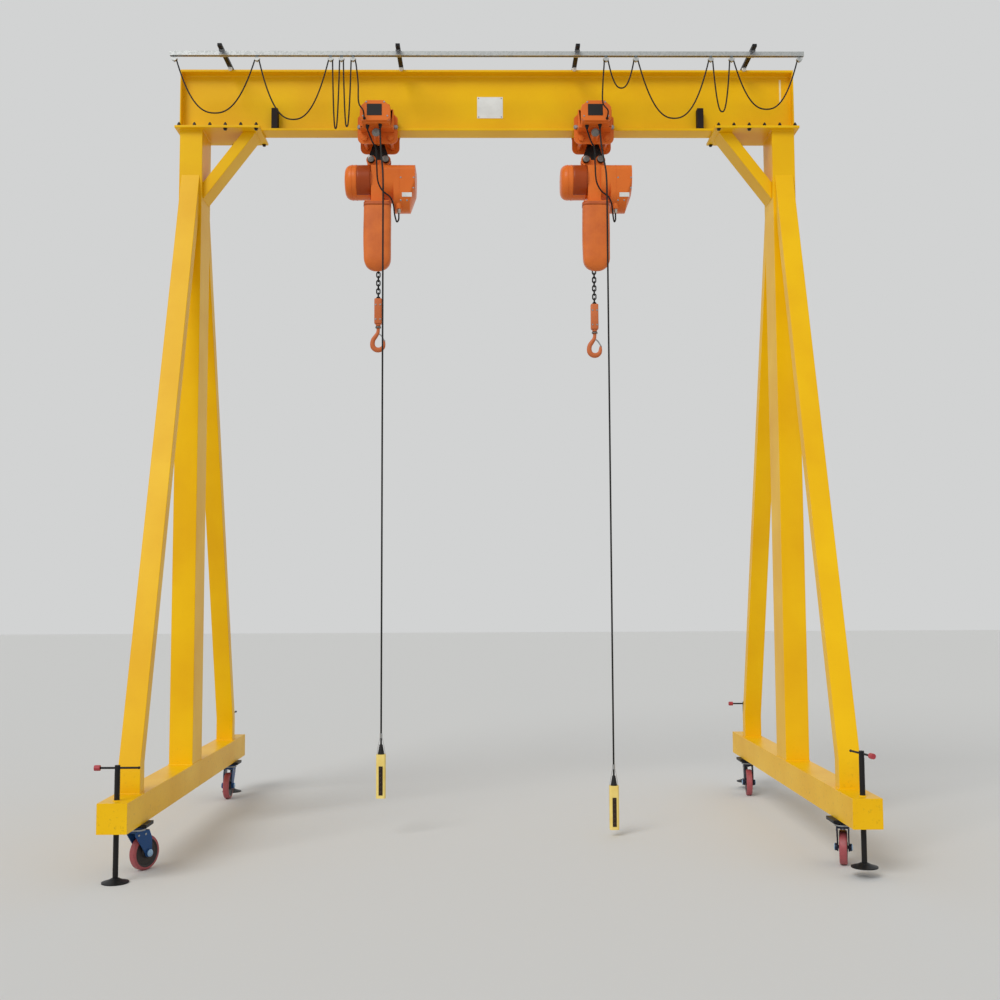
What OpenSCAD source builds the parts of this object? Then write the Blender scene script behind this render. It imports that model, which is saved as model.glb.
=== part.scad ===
// Portable A-frame gantry crane with two electric chain hoists on one beam.
// Origin on the floor under the middle of the beam: X along the beam, Y across it, Z up.

/* [Main beam] */
// Length of the beam over its end plates
beam_l = 4400; // [4100:50:5000]
// Height of the I-section
beam_h = 450; // [400:10:500]
// Width of the flanges
flange_w = 140; // [120:5:160]
// Thickness of the flanges
flange_t = 18; // [14:1:24]
// Thickness of the web
web_t = 12; // [8:1:16]
// Fillet between web and flange
fillet_r = 14; // [8:1:20]
// Thickness of the plates that close the beam's ends
end_plate_t = 10; // [6:1:16]

/* [Side frames] */
// Distance from the beam's end to the middle of a side frame
frame_inset = 100; // [90:5:150]
// Height of a column from the foot beam to the saddle plate
column_h = 4432; // [4000:8:4800]
// Width of a column along the beam
column_w = 160; // [140:5:180]
// Depth of a column across the beam
column_d = 260; // [200:10:300]
// Thickness of a saddle plate
saddle_t = 18; // [12:1:25]
// Length of a saddle plate along the beam
saddle_l = 600; // [500:10:700]
// Width of a saddle plate across the beam
saddle_w = 340; // [280:10:400]
// How far a saddle plate runs past the outer face of its column
saddle_lip = 30; // [10:5:60]
// Length of a foot beam
foot_l = 3200; // [2900:50:3600]
// Side of the square foot beam
foot_s = 170; // [150:5:200]
// Width of a sloping leg along the beam
leg_w = 128; // [100:4:150]
// Depth of a sloping leg, square to its length
leg_d = 80; // [60:5:100]
// Distance from the foot beam's end to the outer face of a leg
leg_inset = 310; // [280:10:450]
// Height of the upright stub at the foot of a leg
leg_stub = 172; // [100:2:240]
// How far below the saddle plate a leg's outer face meets the column
leg_top_drop = 327; // [200:1:500]
// Height of a knee brace below the saddle plate
brace_drop = 491; // [400:1:600]
// Reach of a knee brace along the saddle plate
brace_reach = 370; // [300:5:420]
// Thickness of a knee brace, square to its length
brace_t = 76; // [50:2:90]
// Depth of a knee brace across the beam
brace_d = 180; // [120:10:240]

/* [Casters] */
// Diameter of a wheel
wheel_d = 200; // [150:10:220]
// Width of a wheel
wheel_w = 50; // [40:2:60]
// Room between the top of a wheel and its fork's crown
crown_gap = 25; // [10:1:30]
// Thickness of a fork's crown
crown_t = 10; // [6:1:14]
// Thickness of a fork's side plates
fork_t = 7; // [5:1:10]
// Height of the swivel bearing
bearing_h = 25; // [14:1:30]
// Diameter of the swivel bearing
bearing_d = 92; // [80:2:110]
// Thickness of a caster's top plate
top_plate_t = 20; // [10:1:24]
// Side of a caster's square top plate
top_plate_s = 150; // [130:5:160]
// Distance from the swivel axis back to the wheel's axle
trail = 60; // [40:5:80]
// Diameter of the wheel's axle
axle_d = 20; // [16:1:24]
// Diameter of the bosses on a fork's outer faces
boss_d = 43; // [34:1:50]
// Distance from the foot beam's end to a caster's swivel axis
caster_inset = 350; // [340:5:450]
// How far the casters stand inwards of the foot beam's middle
caster_offset = 40; // [0:5:50]
// Angle of the left front caster, from +Y towards +X
left_front_turn = 210; // [0:1:359]
// Angle of the left rear caster, from +Y towards +X
left_rear_turn = 0; // [0:1:359]
// Angle of the right front caster, from +Y towards +X
right_front_turn = 198; // [0:1:359]
// Angle of the right rear caster, from +Y towards +X
right_rear_turn = 8; // [0:1:359]

/* [Screw jacks] */
// Distance from the foot beam's end to a jack
jack_inset = 88; // [80:2:100]
// Diameter of a jack's screw
screw_d = 30; // [24:1:40]
// Height of a whole jack, from its round plate to the top of its screw
jack_h = 647; // [600:1:700]
// How far the right jacks are screwed up off the floor
right_jack_lift = 55; // [0:1:60]
// Diameter of the round plate that stands on the floor
pad_d = 150; // [120:5:160]
// Height of the round plate's rim
pad_rim = 6; // [4:1:10]
// Height of the round plate's domed middle
pad_dome = 26; // [16:1:32]
// Length of the cross handle over its grip and its ball
handle_l = 256; // [220:4:264]
// Diameter of the cross handle
handle_d = 12; // [10:1:16]
// Diameter of the grip
grip_d = 30; // [24:1:34]
// Length of the grip
grip_l = 30; // [24:1:40]
// Diameter of the ball at the handle's other end
ball_d = 16; // [14:1:22]
// Diameter of the collar welded on the foot beam around the screw
collar_d = 44; // [42:1:60]
// Height of the collar
collar_h = 5; // [4:1:20]

/* [Festoon] */
// Distance of the cable track in front of the beam's middle
track_y = 345; // [335:1:380]
// How much the cable track stays back from each end of the beam
track_inset = 0; // [0:5:100]
// Side of the square cable track
track_s = 30; // [26:1:36]
// Wall of the cable track
track_wall = 2.5; // [2:0.5:4]
// Width of the slot under the track
track_slot = 11; // [8:1:14]
// Distance from the cable track's end to an outer arm
outer_arm_inset = 360; // [200:10:600]
// Distance of the inner arms from the middle of the beam
inner_arm_x = 620; // [400:10:900]
// Length of an arm
arm_l = 485; // [460:5:520]
// Width of an arm
arm_w = 30; // [20:1:40]
// Height of an arm
arm_h = 20; // [14:1:30]
// How far an arm reaches in front of the beam's middle
arm_front = 435; // [400:5:460]
// Diameter of the festoon cable
festoon_d = 10; // [8:1:11]

/* [Trolleys] */
// Place of the left trolley along the beam
left_trolley_x = -785; // [-1200:5:-400]
// Place of the right trolley along the beam
right_trolley_x = 755; // [400:5:1200]
// Distance from the beam's end to a trolley stop
stop_inset = 675; // [640:5:750]
// Length of a stop along the beam
stop_l = 45; // [30:1:60]
// Height of a stop
stop_h = 150; // [100:5:180]
// Width of a side plate along the beam
side_plate_l = 283; // [260:1:300]
// Height of a side plate
side_plate_h = 235; // [220:5:250]
// Thickness of a side plate
side_plate_t = 12; // [8:1:16]
// Gap between the edge of the flange and a side plate
side_gap = 23; // [18:1:28]
// How far the side plates hang below the beam
side_drop = 110; // [95:1:125]
// Diameter of a trolley wheel
roller_d = 116; // [100:2:124]
// Width of a trolley wheel
roller_w = 32; // [26:1:36]
// Distance between the two wheels of one side
roller_pitch = 142; // [136:2:150]
// Diameter of a trolley wheel's pin
roller_pin_d = 30; // [24:1:36]
// Diameter of the shaft that carries the hoist
load_shaft_d = 42; // [36:1:48]
// Diameter of the shaft's end under the drive
shaft_end_d = 60; // [50:1:64]
// Diameter of the two bars that tie the side plates together
tie_d = 26; // [20:1:30]
// Distance of the two tie bars from the trolley's middle
tie_x = 92; // [88:1:100]
// Width of the drive's front cover
cover_w = 210; // [190:5:230]
// Height of the front cover
cover_h = 146; // [130:2:160]
// Thickness of the front cover
cover_t = 33; // [24:1:40]
// Depth of the drive in front of the side plate
drive_d = 190; // [180:2:194]
// Width of the drive's gearbox
gear_w = 236; // [210:2:250]
// Depth of the gearbox
gear_depth = 95; // [80:1:110]
// Height of the gearbox
gear_h = 132; // [120:2:140]

/* [Hoists] */
// Height of the load hook's block top above the floor, left hoist
left_block_top = 3694; // [3000:1:3780]
// Height of the load hook's block top above the floor, right hoist
right_block_top = 3652; // [3000:1:3780]
// Distance from the beam's underside down to the top of a hoist
hoist_drop = 258; // [250:1:280]
// Height of a hoist
hoist_h = 320; // [300:2:340]
// Length of a hoist along the beam
hoist_l = 503; // [490:1:520]
// How far a hoist's middle stands beside its chain, towards the control box
hoist_shift = 15; // [8:1:20]
// Length of the motor
motor_l = 192; // [185:1:196]
// Diameter of the motor
motor_d = 247; // [230:1:256]
// Depth of the gearbox between the motor and the control box
middle_d = 210; // [190:5:230]
// Length of the control box along the beam
box_l = 220; // [210:1:226]
// Depth of the control box
box_d = 250; // [220:5:270]
// Diameter of the two pins that hold a hoist under its trolley
pin_d = 50; // [40:1:54]
// Distance of these pins from the chain, along the beam
pin_x = 52; // [48:1:56]
// Height of these pins above the hoist's top
pin_up = 56; // [52:1:60]
// Diameter of the eye around the load shaft
eye_d = 82; // [76:1:88]
// Thickness of the suspender that joins a hoist to the load shaft
suspender_t = 40; // [34:1:44]
// Thickness of the ears on the hoist
ear_t = 12; // [10:1:16]
// Width of a chain bag
bag_w = 194; // [180:2:196]
// Height of a chain bag
bag_h = 488; // [400:4:520]
// Depth of a chain bag
bag_d = 110; // [90:5:120]
// Radius of a chain bag's lower corners
bag_r = 62; // [40:1:80]
// Gap between the load chain's middle and the back of the bag
bag_gap = 82; // [76:1:100]
// Diameter of the chain's wire
wire_d = 10; // [9:0.1:10.4]
// Distance from one chain link to the next
link_pitch = 30; // [29:0.5:32]
// Outside width of a chain link
link_w = 34; // [33:0.5:36]
// Diameter of the hole in which the chain enters its guide and the hook block
chain_hole_d = 40; // [38:1:42]
// Width of a hook block
block_w = 54; // [50:1:60]
// Depth of a hook block
block_d = 50; // [48:1:56]
// Height of a hook block
block_h = 196; // [170:2:220]
// Mean radius of a hook's bowl
bowl_r = 40; // [34:1:42]
// Thickness of a hook at its bowl
hook_t = 36; // [28:1:40]
// Diameter of the cable from a trolley's drive to its hoist
control_cable_d = 11; // [9:1:12]

/* [Pendants] */
// Height of the left control pendant's underside above the floor
left_pendant_z = 258; // [100:1:1500]
// Height of the right control pendant's underside above the floor
right_pendant_z = 45; // [15:1:1500]
// Width of a pendant
pendant_w = 62; // [54:1:70]
// Depth of a pendant
pendant_d = 50; // [40:1:60]
// Height of a pendant's case
pendant_h = 285; // [260:1:320]
// Height of the rubber boot over the cable's entry
boot_h = 62; // [50:1:80]
// Diameter of the pendant cable
pendant_cable_d = 12; // [9:1:14]
// Distance from the trolley's middle to the pendant cable along the beam
pendant_x = 62; // [50:1:75]
// Distance of the hanging pendant cable in front of the beam's middle
pendant_y = 350; // [330:1:380]

/* [Hidden] */
$fn = 48;
// Clearance between pieces that seat on each other but are not fixed face to face
seat = 0.3;

caster_h = wheel_d + crown_gap + crown_t + bearing_h + top_plate_t;
foot_z = caster_h;
foot_top = foot_z + foot_s;
frame_x = beam_l / 2 - frame_inset;
column_top = foot_top + column_h;
beam_z = column_top + saddle_t;
beam_top = beam_z + beam_h;
flange_top = beam_z + flange_t;
stop_x = beam_l / 2 - stop_inset;
leg_foot_y = foot_l / 2 - leg_inset;
leg_slope = atan((leg_foot_y - column_d / 2) / (column_h - leg_top_drop - leg_stub));
caster_x = frame_x - caster_offset;
caster_y = foot_l / 2 - caster_inset;
jack_y = foot_l / 2 - jack_inset;
axle_z = wheel_d / 2;
cheek_in = wheel_w / 2 + 4;

plate_in = flange_w / 2 + side_gap;
plate_out = plate_in + side_plate_t;
side_bottom = beam_z - side_drop;
roller_z = flange_top + seat + roller_d / 2;
roller_out = flange_w / 2 - 2;
load_shaft_z = side_bottom + 38;
drive_z = side_bottom + 71;
drive_front = plate_out + drive_d;
neck_z = drive_z + 16;
neck_w = cover_w - 16;
neck_top = drive_z + 154;
cover_z = drive_z + 22;

hoist_top = beam_z - hoist_drop;
hoist_z = hoist_top - hoist_h;
hoist_left = hoist_shift - hoist_l / 2;
motor_right = hoist_left + motor_l;
motor_z = hoist_top - 100;
box_left = hoist_shift + hoist_l / 2 - box_l;
middle_z = hoist_z + 53;
guide_z = hoist_z + 3;
pin_z = hoist_top + pin_up;
lobe_r = pin_d / 2 + 10;
gland_x = 150;
gland_y = -75;
gland_z = hoist_z - 29;
bag_top = hoist_z + 23;
bag_x = 4;

chain_end = middle_z - seat;
// Depth of the pocket in a hook block, and the room in it under the chain's lowest link
pocket_h = 34;
link_room = 3;
pendant_case_r = 12;

track_l = beam_l - 2 * track_inset;
track_z = beam_top - track_s / 2;
arm_x = [outer_arm_inset - track_l / 2, -inner_arm_x, inner_arm_x, track_l / 2 - outer_arm_inset];
// Middles of the festoon carriers, from the outer end of each side inwards
carrier_end = track_l / 2 - 30;
left_carriers = [-carrier_end, -1600, -1090, -1015, -935];
right_carriers = [carrier_end, 1697, 1552, 1030, 822];
// Depths of the loops between those carriers, below the carriers' clamps
left_loops = [390, 435, 505, 490];
right_loops = [360, 380, 425, 210];
carrier_l = 26;
// Length of the carriers' lower plates
carrier_lower_l = 14;
// How far the cable hangs straight down from the last carrier, and where it enters a drive's cover
drop_sling = 312;
drop_entry = 14;
// Height of the inner floor of the track, and of the underside of a carrier's upper clamp plate
track_floor = beam_top - track_s + track_wall;
clamp_z = track_floor - 20;

// Helpers

// A flat outline in Y and Z, carried along X
module along_x(l) {
    rotate([90, 0, 90])
        linear_extrude(l, center = true)
            children();
}

// A flat outline in X and Z, carried along Y
module along_y(l) {
    rotate([90, 0, 0])
        linear_extrude(l, center = true)
            children();
}

// A straight round bar through point p, along the axis named by turn
module bar(p, d, l, turn = [0, 0, 0]) {
    translate(p)
        rotate(turn)
            cylinder(d = d, h = l, center = true);
}

// A quarter circle of points about c, from angle a0 to a1
function arc(c, r, a0, a1, n = 5) =
    [for (i = [0:n]) let (a = a0 + (a1 - a0) * i / n) c + r * [cos(a), sin(a)]];

// A rectangle with its four corners rounded, its lower left corner at the origin
function rounded(w, h, r, n = 5) = concat(
    arc([r, r], r, 180, 270, n),
    arc([w - r, r], r, 270, 360, n),
    arc([w - r, h - r], r, 0, 90, n),
    arc([r, h - r], r, 90, 180, n));

function unit(v) = v / norm(v);

// Direction of a path at point i: halfway between the run before it and the run after it
function along(p, i) =
    i == 0 ? unit(p[1] - p[0]) :
    i == len(p) - 1 ? unit(p[i] - p[i - 1]) :
    unit(unit(p[i] - p[i - 1]) + unit(p[i + 1] - p[i]));

// A vector square to the path at each of its points, carried from one to the next without twist
function sides_of(p, i = 0, u = [0.02, 1, 0.01]) =
    i == len(p) ? [] :
    let (t = along(p, i), s = unit(u - (u * t) * t))
    concat([s], sides_of(p, i + 1, s));

// A round tube along path p, with radius r[i] at point i
module swept(p, r, n = 8) {
    s = sides_of(p);
    last = len(p) - 1;
    rings = [for (i = [0:last], k = [0:n - 1])
        let (a = 360 * k / n, t = along(p, i))
        p[i] + r[i] * (cos(a) * s[i] + sin(a) * cross(t, s[i]))];
    walls = [for (i = [0:last - 1], k = [0:n - 1], half = [0, 1])
        let (a = i * n + k, b = i * n + (k + 1) % n)
        half == 0 ? [a, a + n, b + n] : [a, b + n, b]];
    first_cap = [for (k = [0:n - 1]) k];
    last_cap = [for (k = [n - 1:-1:0]) last * n + k];
    polyhedron(rings, concat([first_cap], walls, [last_cap]), convexity = 10);
}

module cable(p, d, n = 8) {
    swept(p, [for (i = p) d / 2], n);
}

// A smooth curve through points p, with n steps between neighbours
function smooth(p, n) = concat(
    [for (i = [0:len(p) - 2], k = [0:n - 1])
        let (
            t = k / n,
            a = p[max(i - 1, 0)],
            b = p[i],
            c = p[i + 1],
            d = p[min(i + 2, len(p) - 1)])
        0.5 * (2 * b + (c - a) * t + (2 * a - 5 * b + 4 * c - d) * t * t
            + (3 * b - a - 3 * c + d) * t * t * t)],
    [p[len(p) - 1]]);

// Main beam

module i_section() {
    half_h = beam_h / 2 - flange_t;
    half_web = web_t / 2;
    corner = [half_web + fillet_r, half_h - fillet_r];
    quarter = concat(
        arc(corner, fillet_r, 180, 90),
        [[flange_w / 2, half_h], [flange_w / 2, beam_h / 2]]);
    right = concat([for (i = [len(quarter) - 1:-1:0]) [quarter[i][0], -quarter[i][1]]], quarter);
    left = [for (i = [len(right) - 1:-1:0]) [-right[i][0], right[i][1]]];
    polygon(concat(right, left));
}

module main_beam() {
    color("#E9AE12") {
        translate([0, 0, beam_z + beam_h / 2])
            along_x(beam_l - 2 * end_plate_t)
                i_section();
        for (side = [-1, 1])
            translate([side * (beam_l - end_plate_t) / 2, 0, beam_z + beam_h / 2])
                cube([end_plate_t, flange_w, beam_h], center = true);
    }
}

module saddle_plates() {
    x = frame_x + column_w / 2 + saddle_lip - saddle_l / 2;
    color("#E9AE12")
        for (side = [-1, 1])
            translate([side * x, 0, beam_z - saddle_t / 2])
                cube([saddle_l, saddle_w, saddle_t], center = true);
}

// Rubber blocks that stand on the lower flange against the web, bevelled over the fillet
module trolley_stops() {
    outline = [
        [web_t / 2, flange_top + fillet_r],
        [web_t / 2 + fillet_r, flange_top],
        [flange_w / 2, flange_top],
        [flange_w / 2, flange_top + stop_h],
        [web_t / 2, flange_top + stop_h]];
    color("#1C1C1C")
        for (side = [-1, 1], face = [0, 1])
            translate([side * stop_x, 0, 0])
                mirror([0, face, 0])
                    along_x(stop_l)
                        polygon(outline);
}

// Side frames

module column(side) {
    color("#F2B90F")
        translate([side * frame_x, 0, foot_top + column_h / 2])
            cube([column_w, column_d, column_h], center = true);
}

module sloping_leg(side, end) {
    across = leg_d / cos(leg_slope);
    rise = across / tan(leg_slope);
    top = column_top - leg_top_drop;
    kink = foot_top + leg_stub;
    outline = [
        [end * leg_foot_y, foot_top],
        [end * leg_foot_y, kink],
        [end * column_d / 2, top],
        [end * column_d / 2, top - rise],
        [end * (leg_foot_y - across), kink],
        [end * (leg_foot_y - across), foot_top]];
    color("#F2B90F")
        translate([side * frame_x, 0, 0])
            along_x(leg_w)
                polygon(outline);
}

module foot_beam(side) {
    color("#F2B90F")
        difference() {
            union() {
                translate([side * frame_x, 0, foot_z + foot_s / 2])
                    cube([foot_s, foot_l, foot_s], center = true);
                for (end = [-1, 1])
                    translate([side * frame_x, end * jack_y, foot_top])
                        cylinder(d = collar_d, h = collar_h);
            }
            for (end = [-1, 1])
                translate([side * frame_x, end * jack_y, foot_z - 1])
                    cylinder(d = screw_d + 2, h = foot_s + collar_h + 2);
        }
}

module knee_braces() {
    x = frame_x - column_w / 2;
    slope = atan(brace_drop / brace_reach);
    outline = [
        [x, column_top - brace_drop],
        [x - brace_reach, column_top],
        [x - brace_reach + brace_t / sin(slope), column_top],
        [x, column_top - brace_drop + brace_t / cos(slope)]];
    color("#F2B90F")
        for (side = [0, 1])
            mirror([side, 0, 0])
                along_y(brace_d)
                    polygon(outline);
}

// Festoon

module track_section() {
    difference() {
        square([track_s, track_s], center = true);
        square([track_s - 2 * track_wall, track_s - 2 * track_wall], center = true);
        translate([-track_slot / 2, -track_s])
            square([track_slot, track_s]);
    }
}

module festoon_track() {
    hanger_l = 40;
    hanger_wall = 4;
    cap_t = 3;
    color("#C9CDD0")
        translate([0, -track_y, track_z]) {
            along_x(track_l)
                track_section();
            for (side = [-1, 1])
                translate([side * (track_l - cap_t) / 2, 0, 0])
                    cube([cap_t, track_s, track_s], center = true);
            for (x = arm_x, face = [-1, 1])
                translate([x, face * (track_s + hanger_wall) / 2, 0])
                    cube([hanger_l, hanger_wall, track_s], center = true);
        }
}

module festoon_arms() {
    color("#26282B")
        for (x = arm_x)
            translate([x, arm_l / 2 - arm_front, beam_top + arm_h / 2])
                cube([arm_w, arm_l, arm_h], center = true);
}

// One carrier: a runner inside the track, a neck through its slot, and two clamp plates that two
// screws pull together over the cable
module carrier(x) {
    inside = track_s - 2 * track_wall - 2;
    plate_w = festoon_d + 14;
    lower_z = clamp_z - festoon_d - 2 * seat - 4;
    translate([x, -track_y, 0]) {
        translate([0, 0, track_floor + seat + inside / 2])
            cube([carrier_l, inside, inside], center = true);
        translate([0, 0, track_floor - 6])
            cube([carrier_l - 6, track_slot - 3, 16], center = true);
        translate([0, 0, clamp_z + 4])
            cube([carrier_l, plate_w, 8], center = true);
        translate([0, 0, lower_z + 2])
            cube([carrier_lower_l, plate_w, 4], center = true);
        for (face = [-1, 1])
            translate([0, face * (plate_w / 2 - 3), lower_z - 3])
                cylinder(d = 5, h = clamp_z - lower_z + 4);
    }
}

module festoon_carriers() {
    color("#8B9095")
        for (x = concat(left_carriers, right_carriers))
            carrier(x);
}

// Points of the cable where it lies in the clamp of the carrier at x, on its way inwards
function clamped_points(x, way) =
    let (half = way * carrier_lower_l / 2, top = clamp_z - seat - festoon_d / 2)
    [[x - half, -track_y, top], [x + half, -track_y, top]];

// Points of the cable that hangs in loops between neighbouring carriers
function loop_points(x0, x1, depth, n = 10) =
    let (
        top = clamp_z - seat - festoon_d / 2,
        low = clamp_z - depth,
        edge = sign(x1 - x0) * carrier_l / 2)
    [for (i = [0:n])
        let (t = i / n, u = abs(2 * t - 1))
        [x0 + edge + (x1 - x0 - 2 * edge) * t, -track_y, top - (top - low) * (1 - pow(u, 2.4))]];

function festoon_points(carriers, depths) =
    let (way = -sign(carriers[0]))
    concat(
        [for (i = [0:len(depths) - 1]) each concat(
            clamped_points(carriers[i], way),
            loop_points(carriers[i], carriers[i + 1], depths[i]))],
        clamped_points(carriers[len(depths)], way));

// Points from the last carrier down to the front of a trolley's drive, at x_end
function drop_points(x_carrier, lean, x_end) =
    let (
        z = cover_z + drop_entry,
        edge = sign(lean) * carrier_l / 2,
        hanging = smooth([
            [x_carrier + lean * 0.5, -track_y, clamp_z - drop_sling * 0.1],
            [x_carrier + lean * 0.9, -track_y, clamp_z - drop_sling * 0.55],
            [x_carrier + lean, -track_y, clamp_z - drop_sling],
            [x_end - lean * 0.1, -track_y + 4, z + 40],
            [x_end, -drive_front - 24, z + 6],
            [x_end, -drive_front - 12, z]], 2))
    concat(
        [[x_carrier + edge, -track_y, clamp_z - seat - festoon_d / 2]],
        hanging,
        [[x_end, -drive_front - seat, z]]);

module left_festoon_cable() {
    points = concat(
        festoon_points(left_carriers, left_loops),
        drop_points(left_carriers[4], 40, left_trolley_x - cover_w / 2 + 30));
    color("#151515")
        cable(points, festoon_d);
}

module right_festoon_cable() {
    points = concat(
        festoon_points(right_carriers, right_loops),
        drop_points(right_carriers[4], -26, right_trolley_x + cover_w / 2 - 30));
    color("#151515")
        cable(points, festoon_d);
}

// Casters

module caster_plates() {
    color("#2B2E33")
        for (side = [-1, 1], end = [-1, 1])
            translate([side * caster_x, end * caster_y, foot_z - top_plate_t / 2])
                cube([top_plate_s, top_plate_s, top_plate_t], center = true);
}

// Places a caster's moving pieces, turned so that they trail behind the swivel axis
module at_caster(side, end, turn) {
    translate([side * caster_x, end * caster_y, 0])
        rotate(-turn)
            children();
}

// One side plate of a fork: a leg that narrows to a round end at the axle
module cheek() {
    end_r = 25;
    crown_z = wheel_d + crown_gap;
    outline = [
        [-trail - end_r, axle_z],
        [-trail + end_r, axle_z],
        [44, crown_z - 12],
        [44, crown_z + crown_t],
        [-62, crown_z + crown_t],
        [-trail - end_r, crown_z - 40]];
    along_x(fork_t)
        polygon(outline);
    bar([0, -trail, axle_z], 2 * end_r, fork_t, [0, 90, 0]);
}

module fork(side, end, turn, paint) {
    crown_z = wheel_d + crown_gap;
    waist_h = 6;
    ring_h = (bearing_h - seat - waist_h) / 2;
    boss_l = 12;
    color(paint)
        at_caster(side, end, turn) {
            translate([0, 0, crown_z + crown_t]) {
                cylinder(d = bearing_d, h = ring_h);
                cylinder(d = bearing_d - 12, h = bearing_h - seat);
                translate([0, 0, ring_h + waist_h])
                    cylinder(d = bearing_d, h = ring_h);
            }
            translate([-cheek_in - fork_t, -62, crown_z])
                cube([2 * (cheek_in + fork_t), 106, crown_t]);
            for (face = [-1, 1]) {
                translate([face * (cheek_in + fork_t / 2), 0, 0])
                    cheek();
                bar([face * (cheek_in + fork_t + boss_l / 2), -trail, axle_z], boss_d, boss_l, [0, 90, 0]);
            }
            bar([0, -trail, axle_z], axle_d, 2 * (cheek_in + fork_t), [0, 90, 0]);
        }
}

module wheel(side, end, turn) {
    core_r = wheel_d / 2 - 16;
    half = wheel_w / 2;
    bore = axle_d / 2 + seat;
    outline = [
        [bore, -half],
        [28, -half],
        [34, -half + 9],
        [core_r - 12, -half + 9],
        [core_r - 4, -half + 3],
        [wheel_d / 2 - 5, -half + 3],
        [wheel_d / 2, -half + 10],
        [wheel_d / 2, half - 10],
        [wheel_d / 2 - 5, half - 3],
        [core_r - 4, half - 3],
        [core_r - 12, half - 9],
        [34, half - 9],
        [28, half],
        [bore, half]];
    color("#A9565A")
        at_caster(side, end, turn)
            translate([0, -trail, axle_z])
                rotate([0, 90, 0])
                    rotate_extrude($fn = 64)
                        polygon(outline);
}

// Screw jacks

// A screw on a domed round plate, with a cross handle that has a grip on one end and a ball on the other
module jack(side, end, lift, handle_turn) {
    handle_z = jack_h - 15;
    dome_r = 22;
    outline = [
        [0, 0],
        [pad_d / 2, 0],
        [pad_d / 2, pad_rim],
        [pad_d / 2 - 8, pad_rim + 2],
        [dome_r + 14, pad_dome - 8],
        [dome_r, pad_dome],
        [0, pad_dome]];
    color("#1B1C1E")
        translate([side * frame_x, end * jack_y, lift]) {
            rotate_extrude($fn = 64)
                polygon(outline);
            cylinder(d = screw_d, h = jack_h);
            rotate(handle_turn) {
                bar([0, 0, handle_z], handle_d, handle_l - grip_l, [0, 90, 0]);
                bar([(grip_l - handle_l) / 2, 0, handle_z], grip_d, grip_l, [0, 90, 0]);
                translate([(handle_l - ball_d) / 2, 0, handle_z])
                    sphere(d = ball_d, $fn = 24);
            }
        }
}

// Trolleys

module side_plate_outline() {
    r = 42;
    w = side_plate_l;
    h = side_plate_h;
    shoulder = 46;
    polygon(concat(
        arc([r, r], r, 180, 270),
        arc([w - r, r], r, 270, 360),
        [[w, h - shoulder], [w - shoulder, h], [shoulder, h], [0, h - shoulder]]));
}

module trolley_frame(x) {
    nut_h = 18;
    color("#D9703C")
        translate([x, 0, 0])
            difference() {
                union() {
                    for (face = [-1, 1])
                        translate([-side_plate_l / 2, face * (plate_in + side_plate_t / 2), side_bottom])
                            along_y(side_plate_t)
                                side_plate_outline();
                    bar([0, 0, load_shaft_z], load_shaft_d, 2 * plate_out + 24, [90, 0, 0]);
                    bar([0, -plate_out - 55, load_shaft_z], shaft_end_d, 110, [90, 0, 0]);
                    for (place = [-1, 1]) {
                        bar([place * tie_x, 0, load_shaft_z], tie_d, 2 * (plate_out + nut_h), [90, 0, 0]);
                        for (face = [-1, 1])
                            translate([place * tie_x, face * (plate_out + nut_h / 2), load_shaft_z])
                                rotate([90, 0, 0])
                                    cylinder(d = tie_d * 1.75, h = nut_h - 4, center = true, $fn = 6);
                    }
                }
                for (face = [-1, 1], place = [-1, 1])
                    bar([place * roller_pitch / 2, face * (plate_in + side_plate_t / 2), roller_z],
                        roller_pin_d + 2 * seat, side_plate_t + 2, [90, 0, 0]);
            }
}

module trolley_wheels(x) {
    color("#5B5E62")
        translate([x, 0, 0])
            for (face = [-1, 1], place = [-1, 1])
                translate([place * roller_pitch / 2, face * roller_out, roller_z])
                    rotate([face * 90, 0, 0])
                        trolley_wheel();
}

// A wheel with its pin, which points outwards along -Z from the wheel's outer face
module trolley_wheel() {
    cylinder(d = roller_d, h = roller_w);
    translate([0, 0, roller_out - plate_out])
        cylinder(d = roller_pin_d, h = plate_out - roller_out + 1);
}

module cover_outline() {
    w = cover_w;
    h = cover_h;
    top = 46;
    low = 20;
    polygon([[low, 0], [w - low, 0], [w, low], [w, h - top], [w - top, h], [top, h], [0, h - top], [0, low]]);
}

// The trolley's drive: a gearbox on the side plate, a narrower neck, and a cover over its front
module trolley_drive(x) {
    neck_depth = drive_d - gear_depth - cover_t;
    color("#D9703C")
        translate([x, 0, 0]) {
            translate([-gear_w / 2, -plate_out - gear_depth, drive_z + 10])
                cube([gear_w, gear_depth, gear_h]);
            translate([-neck_w / 2, -drive_front + cover_t, neck_z])
                cube([neck_w, neck_depth, neck_top - neck_z]);
            translate([-cover_w / 2, -drive_front + cover_t / 2, cover_z])
                along_y(cover_t)
                    cover_outline();
        }
}

// Hoists

// The piece between the trolley's load shaft and the hoist: an eye, a body and two round pins
module suspender(x) {
    pin_l = suspender_t + 2 * ear_t + 60;
    color("#2A2624")
        translate([x, 0, 0])
            difference() {
                union() {
                    bar([0, 0, load_shaft_z], eye_d, suspender_t, [90, 0, 0]);
                    along_y(suspender_t)
                        polygon([
                            [-pin_x - 20, pin_z - 24],
                            [pin_x + 20, pin_z - 24],
                            [pin_x + 20, pin_z + 24],
                            [eye_d / 2 - 4, load_shaft_z],
                            [4 - eye_d / 2, load_shaft_z],
                            [-pin_x - 20, pin_z + 24]]);
                    for (place = [-1, 1])
                        bar([place * pin_x, 0, pin_z], pin_d, pin_l, [90, 0, 0]);
                }
                bar([0, 0, load_shaft_z], load_shaft_d + 2 * seat, suspender_t + 2, [90, 0, 0]);
            }
}

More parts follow.
